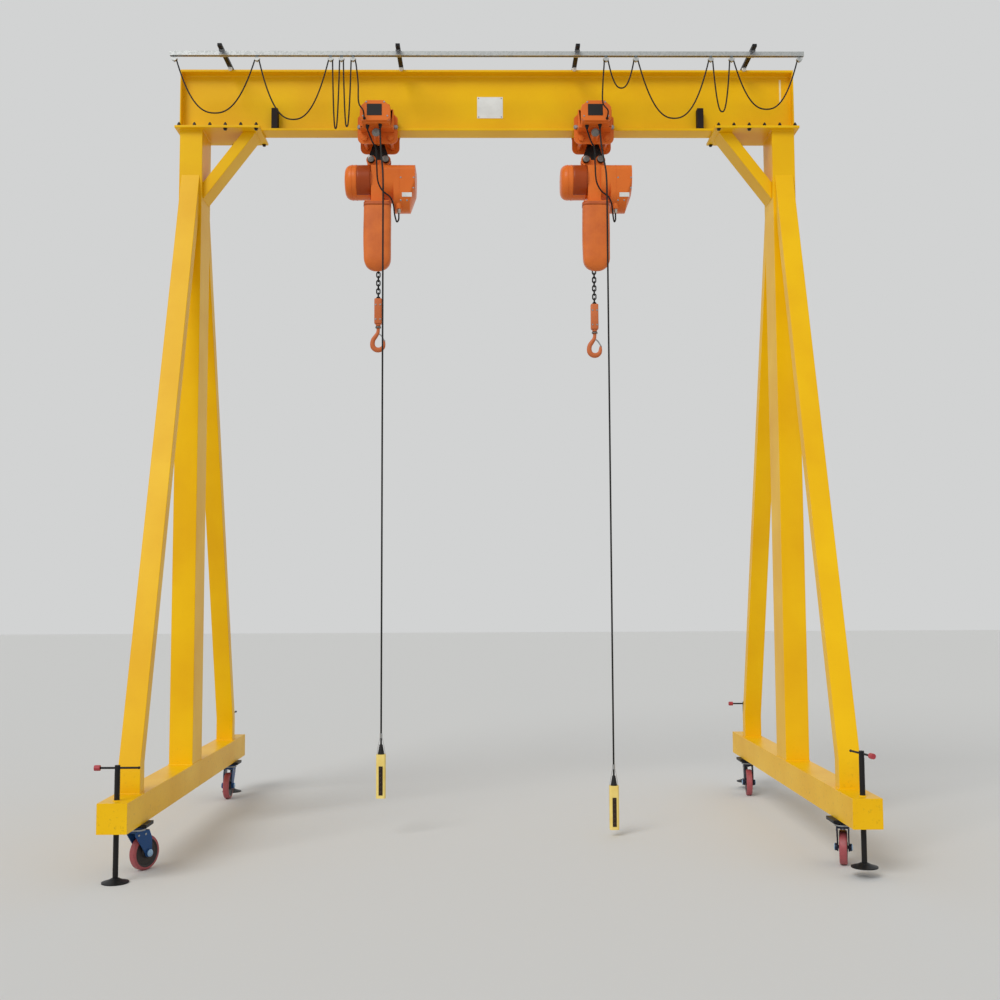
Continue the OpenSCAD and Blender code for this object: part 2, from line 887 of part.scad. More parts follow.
// The two ears of a hoist, with the bores for the suspender's pins
module ears() {
    ear_y = suspender_t / 2 + seat + ear_t / 2;
    for (face = [-1, 1])
        translate([0, face * ear_y, 0])
            difference() {
                union() {
                    along_y(ear_t)
                        polygon([
                            [-pin_x - 20, hoist_top + seat],
                            [motor_right, hoist_top + seat],
                            [motor_right, hoist_top - 20],
                            [box_left - seat, hoist_top - 20],
                            [box_left - seat, hoist_top + seat],
                            [pin_x + 20, hoist_top + seat],
                            [pin_x + 20, pin_z],
                            [-pin_x - 20, pin_z]]);
                    for (place = [-1, 1])
                        bar([place * pin_x, 0, pin_z], 2 * lobe_r, ear_t, [90, 0, 0]);
                }
                for (place = [-1, 1])
                    bar([place * pin_x, 0, pin_z], pin_d + 2 * seat, ear_t + 2, [90, 0, 0]);
            }
}

module motor() {
    r = motor_d / 2;
    cap = 48;
    profile = concat(
        [[0, 0], [r * 0.62, 0]],
        [for (i = [0:5]) let (a = 90 * i / 5) [r * 0.62 + r * 0.38 * sin(a), cap * (1 - cos(a))]],
        [[r, motor_l - 16], [r - 12, motor_l], [0, motor_l]]);
    translate([hoist_left, 0, motor_z])
        rotate([0, 90, 0])
            rotate_extrude($fn = 64)
                polygon(profile);
}

// A strap on the gearbox's front with a shelf that holds the chain bag
module bag_holder() {
    strap_w = 80;
    strap_t = 8;
    shelf_t = 6;
    front = middle_d / 2;
    translate([bag_x - strap_w / 2, -front - strap_t, bag_top])
        cube([strap_w, strap_t, 70]);
    translate([bag_x - bag_w / 2 + 10, -bag_gap - bag_d + 8, bag_top])
        cube([bag_w - 20, bag_d - 8 + bag_gap - front, shelf_t]);
}

module hoist_body(x) {
    guide_d = chain_hole_d + 24;
    color("#D9703C")
        translate([x, 0, 0]) {
            motor();
            ears();
            bag_holder();
            translate([motor_right - 1, -middle_d / 2, middle_z])
                cube([box_left - motor_right + 1, middle_d, hoist_top - 6 - middle_z]);
            difference() {
                translate([0, 0, guide_z])
                    cylinder(d = guide_d, h = middle_z - guide_z);
                translate([0, 0, guide_z - 1])
                    cylinder(d = chain_hole_d, h = middle_z - guide_z + 1);
            }
        }
}

// The box beside the gearbox, cut back over the chain bag, with the gland for the control cable
module control_box(x) {
    notch = [68, 75];
    corner = [40, 110];
    right = box_left + box_l;
    gland_d = 28;
    outline = [
        [box_left, hoist_z + notch[1]],
        [box_left + notch[0], hoist_z + notch[1]],
        [box_left + notch[0], hoist_z],
        [right - corner[0], hoist_z],
        [right, hoist_z + corner[1]],
        [right, hoist_top],
        [box_left, hoist_top]];
    color("#D9703C")
        translate([x, 0, 0]) {
            along_y(box_d)
                polygon(outline);
            translate([gland_x, gland_y, gland_z])
                cylinder(d = gland_d, h = hoist_z - gland_z + 1);
        }
}

// The cable that comes down from the drive, passes beside the bag and enters the box from below
module control_cable(x) {
    start = [-60, -225, neck_z - seat];
    hanging = smooth([
        [-60, -225, neck_z - 12],
        [-57, -224, neck_z - 40],
        [-30, -200, drive_z - 90],
        [-5, -180, hoist_top + 83],
        [0, -168, hoist_top - 17],
        [8, -162, hoist_z + 178],
        [42, -160, hoist_z + 106],
        [94, -158, hoist_z + 62],
        [117, -150, hoist_z + 8],
        [125, -134, hoist_z - 56],
        [137, -104, hoist_z - 98],
        [149, -82, hoist_z - 78],
        [gland_x, gland_y, hoist_z - 52]], 3);
    end = [gland_x, gland_y, gland_z - seat];
    color("#151515")
        translate([x, 0, 0])
            cable(concat([start], hanging, [end]), control_cable_d);
}

module chain_bag(x) {
    w = bag_w / 2;
    outline = concat(
        arc([bag_r - w, bag_r], bag_r, 180, 270, 8),
        arc([w - bag_r, bag_r], bag_r, 270, 360, 8),
        [[w, bag_h], [-w, bag_h]]);
    color("#D4692F")
        translate([x + bag_x, -bag_gap - bag_d / 2, bag_top - seat - bag_h])
            along_y(bag_d)
                polygon(outline);
}

// One link of round wire, standing along Z in the XZ plane
module chain_link(inside_l) {
    bend_r = (link_w - wire_d) / 2;
    straight = inside_l - (link_w - 2 * wire_d);
    for (end = [0, 180])
        rotate([0, end, 0])
            translate([0, 0, straight / 2])
                rotate([90, 0, 0])
                    rotate_extrude(angle = 180, $fn = 32)
                        translate([bend_r, 0])
                            circle(d = wire_d, $fn = 16);
    for (face = [-1, 1])
        translate([face * bend_r, 0, 0])
            cylinder(d = wire_d, h = straight, center = true, $fn = 16);
}

// Links, each turned a quarter against its neighbour, from the pin in the hook block up into the guide
module load_chain(x, top) {
    low = top - pocket_h + link_room;
    run = chain_end - low - seat - 2 * wire_d;
    links = round(run / link_pitch);
    pitch = run / links;
    color("#1A1A1A")
        for (i = [0:links - 1])
            translate([x, 0, low + wire_d + (pitch + seat) / 2 + i * pitch])
                rotate(90 * (i % 2))
                    chain_link(pitch + seat);
}

// The block over the hook, with a pocket for the chain's lowest link and the pin that passes through it
module hook_block(x, top) {
    neck_h = 14;
    end_pin_d = link_w - 2 * wire_d - 3;
    end_pin_z = block_h - pocket_h + link_room + wire_d + seat + end_pin_d / 2;
    color("#D9703C")
        translate([x, 0, top - block_h]) {
            difference() {
                union() {
                    translate([-block_w / 2, -block_d / 2, neck_h])
                        cube([block_w, block_d, block_h - neck_h]);
                    cylinder(d = 34, h = neck_h);
                }
                translate([0, 0, block_h - pocket_h])
                    cylinder(d = chain_hole_d, h = pocket_h + 1);
            }
            bar([0, 0, end_pin_z], end_pin_d, block_d, [90, 0, 0]);
        }
}

// Path of a hook's middle line in X and Z, with the thickness at each point
function hook_line(r) = [
    [0, 3.3 * r, 24],
    [0, 2.5 * r, 24],
    [-0.1 * r, 2.0 * r, 26],
    [-0.45 * r, 1.45 * r, 30],
    [-0.85 * r, 0.85 * r, 32],
    [-1.0 * r, 0.2 * r, 34],
    [-0.9 * r, -0.45 * r, 36],
    [-0.5 * r, -0.87 * r, 36],
    [0, -1.0 * r, 36],
    [0.5 * r, -0.87 * r, 34],
    [0.87 * r, -0.5 * r, 29],
    [1.0 * r, 0, 24],
    [1.02 * r, 0.4 * r, 19],
    [1.12 * r, 0.75 * r, 13]];

module hook(x, top) {
    line = hook_line(bowl_r);
    z = top - block_h - seat - 3.3 * bowl_r;
    color("#D9703C")
        translate([x, 0, z])
            swept([for (p = line) [p[0], 0, p[1]]], [for (p = line) p[2] * hook_t / 72], 12);
}

// Pendants

module pendant_cable(x, z) {
    start = [30, -240, neck_z - seat];
    upper = smooth([
        [30, -240, neck_z - 12],
        [31, -243, neck_z - 60],
        [36, -262, neck_z - 150],
        [46, -300, neck_z - 260],
        [58, -338, neck_z - 370],
        [pendant_x, -pendant_y, neck_z - 470]], 3);
    end = [pendant_x, -pendant_y, z + pendant_h + boot_h + seat];
    color("#151515")
        translate([x, 0, 0])
            cable(concat([start], upper, [end]), pendant_cable_d);
}

// A moulded case with a rubber boot over the cable's entry and six buttons on a raised strip
module pendant(x, z) {
    strip_w = 24;
    strip_h = 186;
    strip_z = 22;
    button_d = 16;
    button_gap = 30;
    front = -pendant_d / 2;
    color("#F5DC7E")
        translate([x + pendant_x, -pendant_y, z]) {
            linear_extrude(pendant_h)
                translate([-pendant_w / 2, -pendant_d / 2])
                    polygon(rounded(pendant_w, pendant_d, pendant_case_r));
            translate([0, 0, pendant_h])
                cylinder(d1 = 40, d2 = pendant_cable_d + 6, h = boot_h);
            translate([-strip_w / 2, front - 2, strip_z])
                cube([strip_w, 3, strip_h]);
            for (i = [0:5])
                bar([0, front - 3, strip_z + 18 + i * button_gap], button_d, 6, [90, 0, 0]);
        }
}

// Assembly

main_beam();
saddle_plates();
trolley_stops();
column(-1);  // left_column
column(1);  // right_column
sloping_leg(-1, -1);  // left_front_leg
sloping_leg(-1, 1);  // left_rear_leg
sloping_leg(1, -1);  // right_front_leg
sloping_leg(1, 1);  // right_rear_leg
foot_beam(-1);  // left_foot_beam
foot_beam(1);  // right_foot_beam
knee_braces();
festoon_track();
festoon_arms();
festoon_carriers();
left_festoon_cable();
right_festoon_cable();
caster_plates();
jack(-1, -1, 0, 0);  // left_front_jack
jack(-1, 1, 0, 90);  // left_rear_jack
jack(1, -1, right_jack_lift, 102);  // right_front_jack
jack(1, 1, right_jack_lift, 0);  // right_rear_jack
fork(-1, -1, left_front_turn, "#2E5C96");  // left_front_fork
fork(-1, 1, left_rear_turn, "#2E5C96");  // left_rear_fork
fork(1, -1, right_front_turn, "#2E5C96");  // right_front_fork
fork(1, 1, right_rear_turn, "#2E5C96");  // right_rear_fork
wheel(-1, -1, left_front_turn);  // left_front_wheel
wheel(-1, 1, left_rear_turn);  // left_rear_wheel
wheel(1, -1, right_front_turn);  // right_front_wheel
wheel(1, 1, right_rear_turn);  // right_rear_wheel
trolley_frame(left_trolley_x);  // left_trolley_frame
trolley_wheels(left_trolley_x);  // left_trolley_wheels
trolley_drive(left_trolley_x);  // left_trolley_drive
suspender(left_trolley_x);  // left_suspender
hoist_body(left_trolley_x);  // left_hoist_body
control_box(left_trolley_x);  // left_control_box
control_cable(left_trolley_x);  // left_control_cable
chain_bag(left_trolley_x);  // left_chain_bag
load_chain(left_trolley_x, left_block_top);  // left_load_chain
hook_block(left_trolley_x, left_block_top);  // left_hook_block
hook(left_trolley_x, left_block_top);  // left_hook
pendant_cable(left_trolley_x, left_pendant_z);  // left_pendant_cable
pendant(left_trolley_x, left_pendant_z);  // left_pendant
trolley_frame(right_trolley_x);  // right_trolley_frame
trolley_wheels(right_trolley_x);  // right_trolley_wheels
trolley_drive(right_trolley_x);  // right_trolley_drive
suspender(right_trolley_x);  // right_suspender
hoist_body(right_trolley_x);  // right_hoist_body
control_box(right_trolley_x);  // right_control_box
control_cable(right_trolley_x);  // right_control_cable
chain_bag(right_trolley_x);  // right_chain_bag
load_chain(right_trolley_x, right_block_top);  // right_load_chain
hook_block(right_trolley_x, right_block_top);  // right_hook_block
hook(right_trolley_x, right_block_top);  // right_hook
pendant_cable(right_trolley_x, right_pendant_z);  // right_pendant_cable
pendant(right_trolley_x, right_pendant_z);  // right_pendant
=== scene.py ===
# %% [markdown]
# # Dressing a portable A-frame gantry crane
#
# The crane is a steel I-beam on two A-frames. Two electric chain hoists hang from trolleys that
# run on the beam's lower flange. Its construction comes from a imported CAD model, which stays as it
# is. This lesson gives each surface its finish and adds what the CAD model leaves out: cables,
# chain links, bolts, welds, canvas and rubber.

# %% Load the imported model
import math

import bmesh
import bpy
import numpy as np
from mathutils import Matrix, Vector


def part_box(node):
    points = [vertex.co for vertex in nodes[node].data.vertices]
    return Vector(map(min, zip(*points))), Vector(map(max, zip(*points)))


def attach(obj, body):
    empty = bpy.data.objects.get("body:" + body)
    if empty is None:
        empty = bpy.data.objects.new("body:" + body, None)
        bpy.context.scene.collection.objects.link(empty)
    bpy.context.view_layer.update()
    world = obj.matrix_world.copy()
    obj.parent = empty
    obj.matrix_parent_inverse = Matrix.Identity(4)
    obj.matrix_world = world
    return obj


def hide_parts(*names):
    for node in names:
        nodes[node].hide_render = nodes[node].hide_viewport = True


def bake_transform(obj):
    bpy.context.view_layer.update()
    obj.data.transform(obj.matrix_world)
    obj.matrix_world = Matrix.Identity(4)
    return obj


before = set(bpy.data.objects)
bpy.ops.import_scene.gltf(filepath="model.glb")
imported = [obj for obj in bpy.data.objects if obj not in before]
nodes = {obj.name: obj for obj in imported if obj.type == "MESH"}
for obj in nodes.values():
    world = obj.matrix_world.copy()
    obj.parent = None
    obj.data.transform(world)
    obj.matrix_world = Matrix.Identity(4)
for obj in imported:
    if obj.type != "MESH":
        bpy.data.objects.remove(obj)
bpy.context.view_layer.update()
scene = bpy.context.scene

# %% [markdown]
# ## The camera
#
# The photograph's own edges fix where it was taken from: the columns, the foot beams and the main
# beam are parallel sets, and a least-squares fit of their corners gives the place, the tilt and the
# lens. The camera stands at eye height, about eight metres in front, tilted up a little.

# %% Camera at the photograph's place
EYE = Vector((-0.0275, -8.2460, 1.6037))
PITCH_UP = 0.0788
YAW_RIGHT = 0.0125
ROLL = -0.0043
LENS_MM = 42.33
SENSOR_MM = 36.0


def camera_axes():
    """Right, up and forward: a heading, tilted up by the pitch, then rolled about the forward line."""
    heading = Vector((math.sin(YAW_RIGHT), math.cos(YAW_RIGHT), 0))
    forward = heading * math.cos(PITCH_UP) + Vector((0, 0, math.sin(PITCH_UP)))
    right = Vector((math.cos(YAW_RIGHT), -math.sin(YAW_RIGHT), 0))
    up = right.cross(forward)
    rolled_right = right * math.cos(ROLL) + up * math.sin(ROLL)
    rolled_up = up * math.cos(ROLL) - right * math.sin(ROLL)
    return rolled_right, rolled_up, forward


camera = bpy.data.objects.new("camera", bpy.data.cameras.new("camera"))
scene.collection.objects.link(camera)
camera.data.lens = LENS_MM
camera.data.sensor_width = SENSOR_MM
right, up, forward = camera_axes()
turn = Matrix((right, up, -forward)).transposed()
camera.matrix_world = Matrix.Translation(EYE) @ turn.to_4x4()
scene.camera = camera

# %% [markdown]
# ## Surfaces from arrays
#
# Each new piece is a grid of points that a formula gives, with quads between them. A grid could be
# made with Blender's own primitives, but a formula keeps the real sizes in view. A part is a pair:
# an array of points and a list of face arrays. Parts are turned, moved and joined as whole arrays,
# and become one mesh at the end.

# %% Grids, turned profiles and flat outlines


def grid_faces(rows, cols, close_rows=False, close_cols=False):
    """Quads between neighbouring points of a grid numbered row by row; a closed way wraps round."""
    i = np.arange(rows if close_rows else rows - 1)
    j = np.arange(cols if close_cols else cols - 1)
    i, j = np.meshgrid(i, j, indexing="ij")
    next_i = (i + 1) % rows
    next_j = (j + 1) % cols
    quads = np.stack([i * cols + j, i * cols + next_j, next_i * cols + next_j, next_i * cols + j], -1)
    return quads.reshape(-1, 4)


def lathe(profile, steps=24):
    """(r cos a, r sin a, z): the profile's radius and height, turned about Z."""
    r, z = np.array(profile, float).T
    a = np.linspace(0, 2 * np.pi, steps, endpoint=False)
    points = np.stack([np.outer(r, np.cos(a)), np.outer(r, np.sin(a)), np.outer(z, np.ones(steps))], -1)
    return points.reshape(-1, 3), [grid_faces(len(r), steps, close_cols=True)]


def end_caps(around, total):
    """A face over the first ring and one over the last ring of this many points in all."""
    return np.stack([np.arange(around)[::-1], np.arange(total - around, total)])


def loft(rings):
    """Rings of points joined by quads in their order, and capped at both ends."""
    points = np.vstack(rings)
    around = len(rings[0])
    return points, [grid_faces(len(rings), around, close_cols=True), end_caps(around, len(points))]


def prism(outline, depth):
    """A flat outline in X and Y, carried along Z from 0 to the depth, with a cap at each end."""
    flat = np.array(outline, float)
    n = len(flat)
    return loft([np.column_stack([flat, np.full(n, z)]) for z in (0, depth)])


def slab(size):
    """A rectangular plate, centred in X and Y, with its back face on Z = 0."""
    w, h, depth = size
    return prism([(-w / 2, -h / 2), (w / 2, -h / 2), (w / 2, h / 2), (-w / 2, h / 2)], depth)


def tube(path, radius, sides=12, aside=(0, 1, 0)):
    """path + r (cos b s + sin b t), with s square to the path and to the aside line, t to both."""
    path = np.array(path, float)
    run = np.diff(path, axis=0)
    run /= np.linalg.norm(run, axis=1, keepdims=True)
    ahead = np.vstack([run[:1], run[:-1] + run[1:], run[-1:]])
    ahead /= np.linalg.norm(ahead, axis=1, keepdims=True)
    s = np.cross(np.array(aside, float), ahead)
    s /= np.linalg.norm(s, axis=1, keepdims=True)
    t = np.cross(ahead, s)
    b = np.linspace(0, 2 * np.pi, sides, endpoint=False)
    r = np.broadcast_to(radius, len(path))[:, None, None]
    ring = np.cos(b)[None, :, None] * s[:, None, :] + np.sin(b)[None, :, None] * t[:, None, :]
    return loft(path[:, None, :] + r * ring)


# %% Placing, joining and making pieces


def facing(direction):
    """The turn that takes +Z to the direction."""
    return np.array(Vector((0, 0, 1)).rotation_difference(Vector(direction)).to_matrix())


def placed(part, at=(0, 0, 0), turned=None):
    """The part turned by a matrix, then moved to a point."""
    points, faces = part
    if turned is not None:
        points = points @ np.array(turned).T
    return points + np.array(at), faces


def join(parts):
    """Several parts as one: each part's faces count on from the points before it."""
    starts = np.cumsum([0] + [len(points) for points, _ in parts[:-1]])
    faces = [group + start for (_, groups), start in zip(parts, starts) for group in groups]
    return np.vstack([points for points, _ in parts]), faces


def repeated(part, places, turned=None):
    """One copy of the part at each place."""
    return join([placed(part, at, turned) for at in places])


def make_piece(name, part, material, body, bevel=0.0, sharp=35, uv=None):
    """A mesh object from a part: doubles merged, faces turned outwards, smooth up to the sharp angle."""
    points, faces = part
    mesh = bpy.data.meshes.new(name)
    mesh.from_pydata(points.tolist(), [], [face for group in faces for face in group.tolist()])
    if uv is not None:
        corners = np.zeros(len(mesh.loops), int)
        mesh.loops.foreach_get("vertex_index", corners)
        mesh.uv_layers.new(name="cloth").data.foreach_set("uv", uv[corners].ravel())
    shape = bmesh.new()
    shape.from_mesh(mesh)
    bmesh.ops.remove_doubles(shape, verts=shape.verts, dist=1e-6)
    bmesh.ops.recalc_face_normals(shape, faces=shape.faces)
    shape.to_mesh(mesh)
    shape.free()
    mesh.polygons.foreach_set("use_smooth", np.ones(len(mesh.polygons), bool))
    mesh.set_sharp_from_angle(angle=math.radians(sharp))
    mesh.materials.append(material)
    piece = bpy.data.objects.new(name, mesh)
    scene.collection.objects.link(piece)
    if bevel:
        round_edges(piece, bevel)
    if body:
        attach(piece, body)
    return piece


def round_edges(piece, width):
    """Edges sharper than 35 degrees get a small round, as a painted or moulded edge has."""
    edge = piece.modifiers.new("edge", "BEVEL")
    edge.width = width
    edge.segments = 2
    edge.limit_method = "ANGLE"
    edge.angle_limit = math.radians(35)
    edge.use_clamp_overlap = True
    piece.modifiers.new("shading", "WEIGHTED_NORMAL").keep_sharp = True


# %% [markdown]
# ## Curves
#
# Cables follow a few given points. A Catmull-Rom curve passes through all of them, so the
# cable leaves its gland straight and hangs where the points say. It is worked out for all spans at
# once.

# %% A curve through points


def through(points, steps):
    """Catmull-Rom: between b and c, half of 2b + (c-a)t + (2a-5b+4c-d)t^2 + (3b-a-3c+d)t^3."""
    p = np.array(points, float)
    a, b, c, d = np.vstack([p[:1], p[:-2]]), p[:-1], p[1:], np.vstack([p[2:], p[-1:]])
    t = (np.arange(steps) / steps)[None, :, None]
    a, b, c, d = a[:, None], b[:, None], c[:, None], d[:, None]
    line = 2 * b + (c - a) * t + (2 * a - 5 * b + 4 * c - d) * t**2 + (3 * b - a - 3 * c + d) * t**3
    return np.vstack([0.5 * line.reshape(-1, 3), p[-1:]])


def run_of(path):
    """The length of a path."""
    return float(np.linalg.norm(np.diff(path, axis=0), axis=1).sum())


def relaxed(path, step=0.004, reach=3):
    """The path at equal steps, each point the mean of its neighbours within the reach; its ends stay."""
    path = np.array(path, float)
    run = np.concatenate([[0], np.cumsum(np.linalg.norm(np.diff(path, axis=0), axis=1))])
    even = np.linspace(0, run[-1], int(run[-1] / step) + 1)
    line = np.column_stack([np.interp(even, run, path[:, axis]) for axis in range(3)])
    padded = np.pad(line, ((reach, reach), (0, 0)), mode="reflect", reflect_type="odd")
    window = np.ones(2 * reach + 1) / (2 * reach + 1)
    soft = np.column_stack([np.convolve(padded[:, axis], window, "valid") for axis in range(3)])
    soft[0], soft[-1] = line[0], line[-1]
    return soft


# %% [markdown]
# ## Colours and nodes
#
# Colours are written as sRGB hex values, as a paint chart gives them, and one function turns them
# to the linear values that Blender's sockets take. A second function adds a node, sets it up and
# links it.

# %% Helpers for materials
MIX_FACTOR = 0
MIX_FIRST = 6
MIX_SECOND = 7
MIX_RESULT = 2


def paint(code):
    """Linear colour of an sRGB hex value."""
    channel = np.array([int(code[i:i + 2], 16) for i in (1, 3, 5)]) / 255
    linear = np.where(channel <= 0.04045, channel / 12.92, ((channel + 0.055) / 1.055) ** 2.4)
    return (*(float(value) for value in linear), 1.0)


def add(tree, kind, inputs=None, **settings):
    """A node with its settings, and its inputs set to a value or linked to another node's output."""
    node = tree.nodes.new(kind)
    for name, value in settings.items():
        setattr(node, name, value)
    for name, value in (inputs or {}).items():
        if isinstance(value, bpy.types.NodeSocket):
            tree.links.new(value, node.inputs[name])
        else:
            node.inputs[name].default_value = value
    return node


def new_finish(name, inputs):
    """A material with one Principled shader, and the Object coordinates that its patterns read."""
    material = bpy.data.materials.new(name)
    material.use_nodes = True
    tree = material.node_tree
    tree.nodes.clear()
    shader = add(tree, "ShaderNodeBsdfPrincipled", inputs)
    add(tree, "ShaderNodeOutputMaterial", {"Surface": shader.outputs[0]})
    place = add(tree, "ShaderNodeTexCoord").outputs["Object"]
    return material, tree, shader, place


def noise(tree, place, scale, detail, roughness=0.5):
    """The value of a fractal noise, about 0.5 on average."""
    return add(tree, "ShaderNodeTexNoise", {
        "Vector": place, "Scale": scale, "Detail": detail, "Roughness": roughness}).outputs["Fac"]


def spread(tree, value, start=0.0, stop=1.0, low=0.0, high=1.0):
    """The range from start to stop spread out from low to high, and held at its ends."""
    return add(tree, "ShaderNodeMapRange", {
        "Value": value, "From Min": start, "From Max": stop, "To Min": low, "To Max": high}).outputs[0]


def mix(tree, share, first, second):
    """A colour between two, each one a hex value or the colour of another node."""
    first, second = [paint(colour) if isinstance(colour, str) else colour for colour in (first, second)]
    return add(tree, "ShaderNodeMix", {MIX_FACTOR: share, MIX_FIRST: first, MIX_SECOND: second},
               data_type="RGBA").outputs[MIX_RESULT]


def maths(tree, operation, first, second=0.5):
    """The result of one sum, on values or on other nodes' outputs."""
    return add(tree, "ShaderNodeMath", {0: first, 1: second}, operation=operation).outputs[0]


def surface(tree, shader, colour, roughness=None, height=None, strength=1.0, distance=0.001):
    """The shader's colour, its roughness, and a bump of the given strength and depth from the height."""
    tree.links.new(colour, shader.inputs["Base Color"])
    if roughness is not None:
        tree.links.new(roughness, shader.inputs["Roughness"])
    if height is not None:
        skin = add(tree, "ShaderNodeBump", {"Strength": strength, "Distance": distance, "Height": height})
        tree.links.new(skin.outputs[0], shader.inputs["Normal"])


# %% [markdown]
# ## Cable rubber
#
# The cables have a black chloroprene sheath. It is matt, a little dusty, and never quite even. A
# wide noise lays the dust on, and a fine one gives the sheath its slightly rough skin.

# %% Rubber


def sheath_rubber(name, black, dust, roughness):
    """Extruded rubber: dust in patches of 60 mm, and a skin of 1 mm grain."""
    material, tree, shader, place = new_finish(name, {"Roughness": roughness, "Specular IOR Level": 0.3})
    dusty = spread(tree, noise(tree, place, 16.0, 4.0), 0.45, 0.75, high=0.5)
    surface(tree, shader, mix(tree, dusty, black, dust), None, noise(tree, place, 900.0, 2.0), 0.3, 0.0003)
    return material


cable_rubber = sheath_rubber("chloroprene_sheath", "#0A0909", "#1D1B1A", 0.5)
stop_rubber = sheath_rubber("buffer_rubber", "#1C0E0A", "#2A1812", 0.7)
boot_rubber = sheath_rubber("moulded_boot_rubber", "#1A1A1B", "#2D2C2B", 0.6)

# %% [markdown]
# ## The pendant cables
#
# Each hoist is worked from a control pendant on a cable that leaves the trolley's drive, swings
# forward of the chain bag and hangs straight down. Its far end carries the pendant.
# A curve object would do, but a mesh tube keeps the same shape in every program. The route repeats
# the CAD model's own points.

# %% Pendant cables
PENDANT_CABLE_D = 0.012
SEAT = 0.0003
sides = ("left", "right")
trolley_x = {}
for side in sides:
    low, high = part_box(side + "_trolley_frame")
    trolley_x[side] = round((low.x + high.x) / 2, 5)
NECK_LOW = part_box("left_pendant_cable")[1].z + SEAT
PENDANT_ROUTE = [
    (0.030, -0.240, -0.012), (0.031, -0.243, -0.060), (0.036, -0.262, -0.150), (0.046, -0.300, -0.260),
    (0.058, -0.338, -0.370), (0.062, -0.350, -0.470)]
GLAND_AT = (0.030, -0.240, -SEAT)
pendant_exit = {}
for side in sides:
    bend = np.vstack([[GLAND_AT], through(PENDANT_ROUTE, 8)]) + (trolley_x[side], 0, NECK_LOW)
    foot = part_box(side + "_pendant_cable")[0].z
    drop = np.linspace(bend[-1], (bend[-1][0], bend[-1][1], foot), 60)
    route = np.vstack([bend, drop[1:]])
    cable = make_piece(side + "_pendant_cord", tube(route, PENDANT_CABLE_D / 2, 12), cable_rubber,
                       side + "_trolley")
    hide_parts(side + "_pendant_cable")
    pendant_exit[side] = route[0]
    print(side, "pendant cable:", round(run_of(route), 3), "m")

# %% [markdown]
# ## Enamel
#
# Beam and frames are sprayed with a warm yellow gloss enamel, and the hoists with an orange one.
# Sprayed enamel is never one flat colour: the coat is thicker and deeper in some places, its skin
# has a fine orange peel, and near the floor it collects scuffs and dust. Three noises, from half a
# metre down to 4 mm, give that, and the height above the floor fades the scuffs out.

# %% Sprayed enamel


def enamel(name, colour, deep, scuff, scuff_top=0.7, gloss=0.34):
    """Gloss paint: depth of colour in patches of 500 mm, peel of 4 mm, scuffs of 20 mm low down."""
    material, tree, shader, place = new_finish(name, {"Specular IOR Level": 0.2})
    patches = noise(tree, place, 2.0, 5.0)
    coat = mix(tree, spread(tree, patches, 0.35, 0.7), colour, deep)
    marks = spread(tree, noise(tree, place, 46.0, 6.0, 0.65), 0.58, 0.72)
    height = add(tree, "ShaderNodeSeparateXYZ", {"Vector": place}).outputs["Z"]
    near_floor = spread(tree, height, 0.2, scuff_top, 0.55, 0.05)
    worn = mix(tree, maths(tree, "MULTIPLY", marks, near_floor), coat, scuff)
    shine = spread(tree, patches, low=gloss - 0.06, high=gloss + 0.1)
    surface(tree, shader, worn, shine, noise(tree, place, 260.0, 1.0), 0.12, 0.0005)
    return material


yellow_enamel = enamel("yellow_gloss_enamel", "#F7C307", "#EDB304", "#94701C")
orange_enamel = enamel("orange_gloss_enamel", "#EA7A30", "#DA6A26", "#7A3A1E", 0.3, 0.3)
salmon_enamel = enamel("salmon_baked_enamel", "#CF7345", "#BD6438", "#6E3A22", 0.3, 0.36)
dark_orange = enamel("dark_orange_enamel", "#A8481C", "#933C16", "#5A2818", 0.3, 0.3)
blue_enamel = enamel("blue_fork_enamel", "#2E5C96", "#24497C", "#4D5560", 0.3, 0.32)
navy_enamel = enamel("navy_fork_enamel", "#20263A", "#191D2C", "#3A3D45", 0.3, 0.36)
black_enamel = enamel("black_satin_enamel", "#1C1D20", "#141517", "#3B3A38", 0.5, 0.42)

# %% [markdown]
# ## Bare and coated steel
#
# The cable track is hot-dip galvanised: its zinc froze in grey flowers of about a centimetre, which
# a Voronoi pattern gives. Bolts are plated, shafts are turned, chain and suspension parts are
# blackened in oil. All are metal, so their colour is the colour of their reflection.

# %% Steel finishes


def galvanised(name, pale, grey, flower):
    """Zinc flowers of the given size, each with its own grey and its own roughness."""
    material, tree, shader, place = new_finish(name, {"Metallic": 0.75})
    cells = add(tree, "ShaderNodeTexVoronoi", {"Vector": place, "Scale": 1 / flower})
    tone = add(tree, "ShaderNodeSeparateXYZ", {"Vector": cells.outputs["Color"]}).outputs["X"]
    surface(tree, shader, mix(tree, tone, pale, grey), spread(tree, tone, low=0.32, high=0.5))
    return material


def worked_steel(name, colour, stain, metallic, roughness, grain):
    """Steel with stains in patches of 25 mm, and a grain of the given size in its skin."""
    material, tree, shader, place = new_finish(name, {"Metallic": metallic})
    patches = noise(tree, place, 40.0, 5.0)
    dull = spread(tree, patches, 0.3, 0.7, roughness - 0.08, roughness + 0.1)
    fine = noise(tree, place, 1 / grain, 2.0)
    surface(tree, shader, mix(tree, patches, colour, stain), dull, fine, 0.2, grain / 8)
    return material


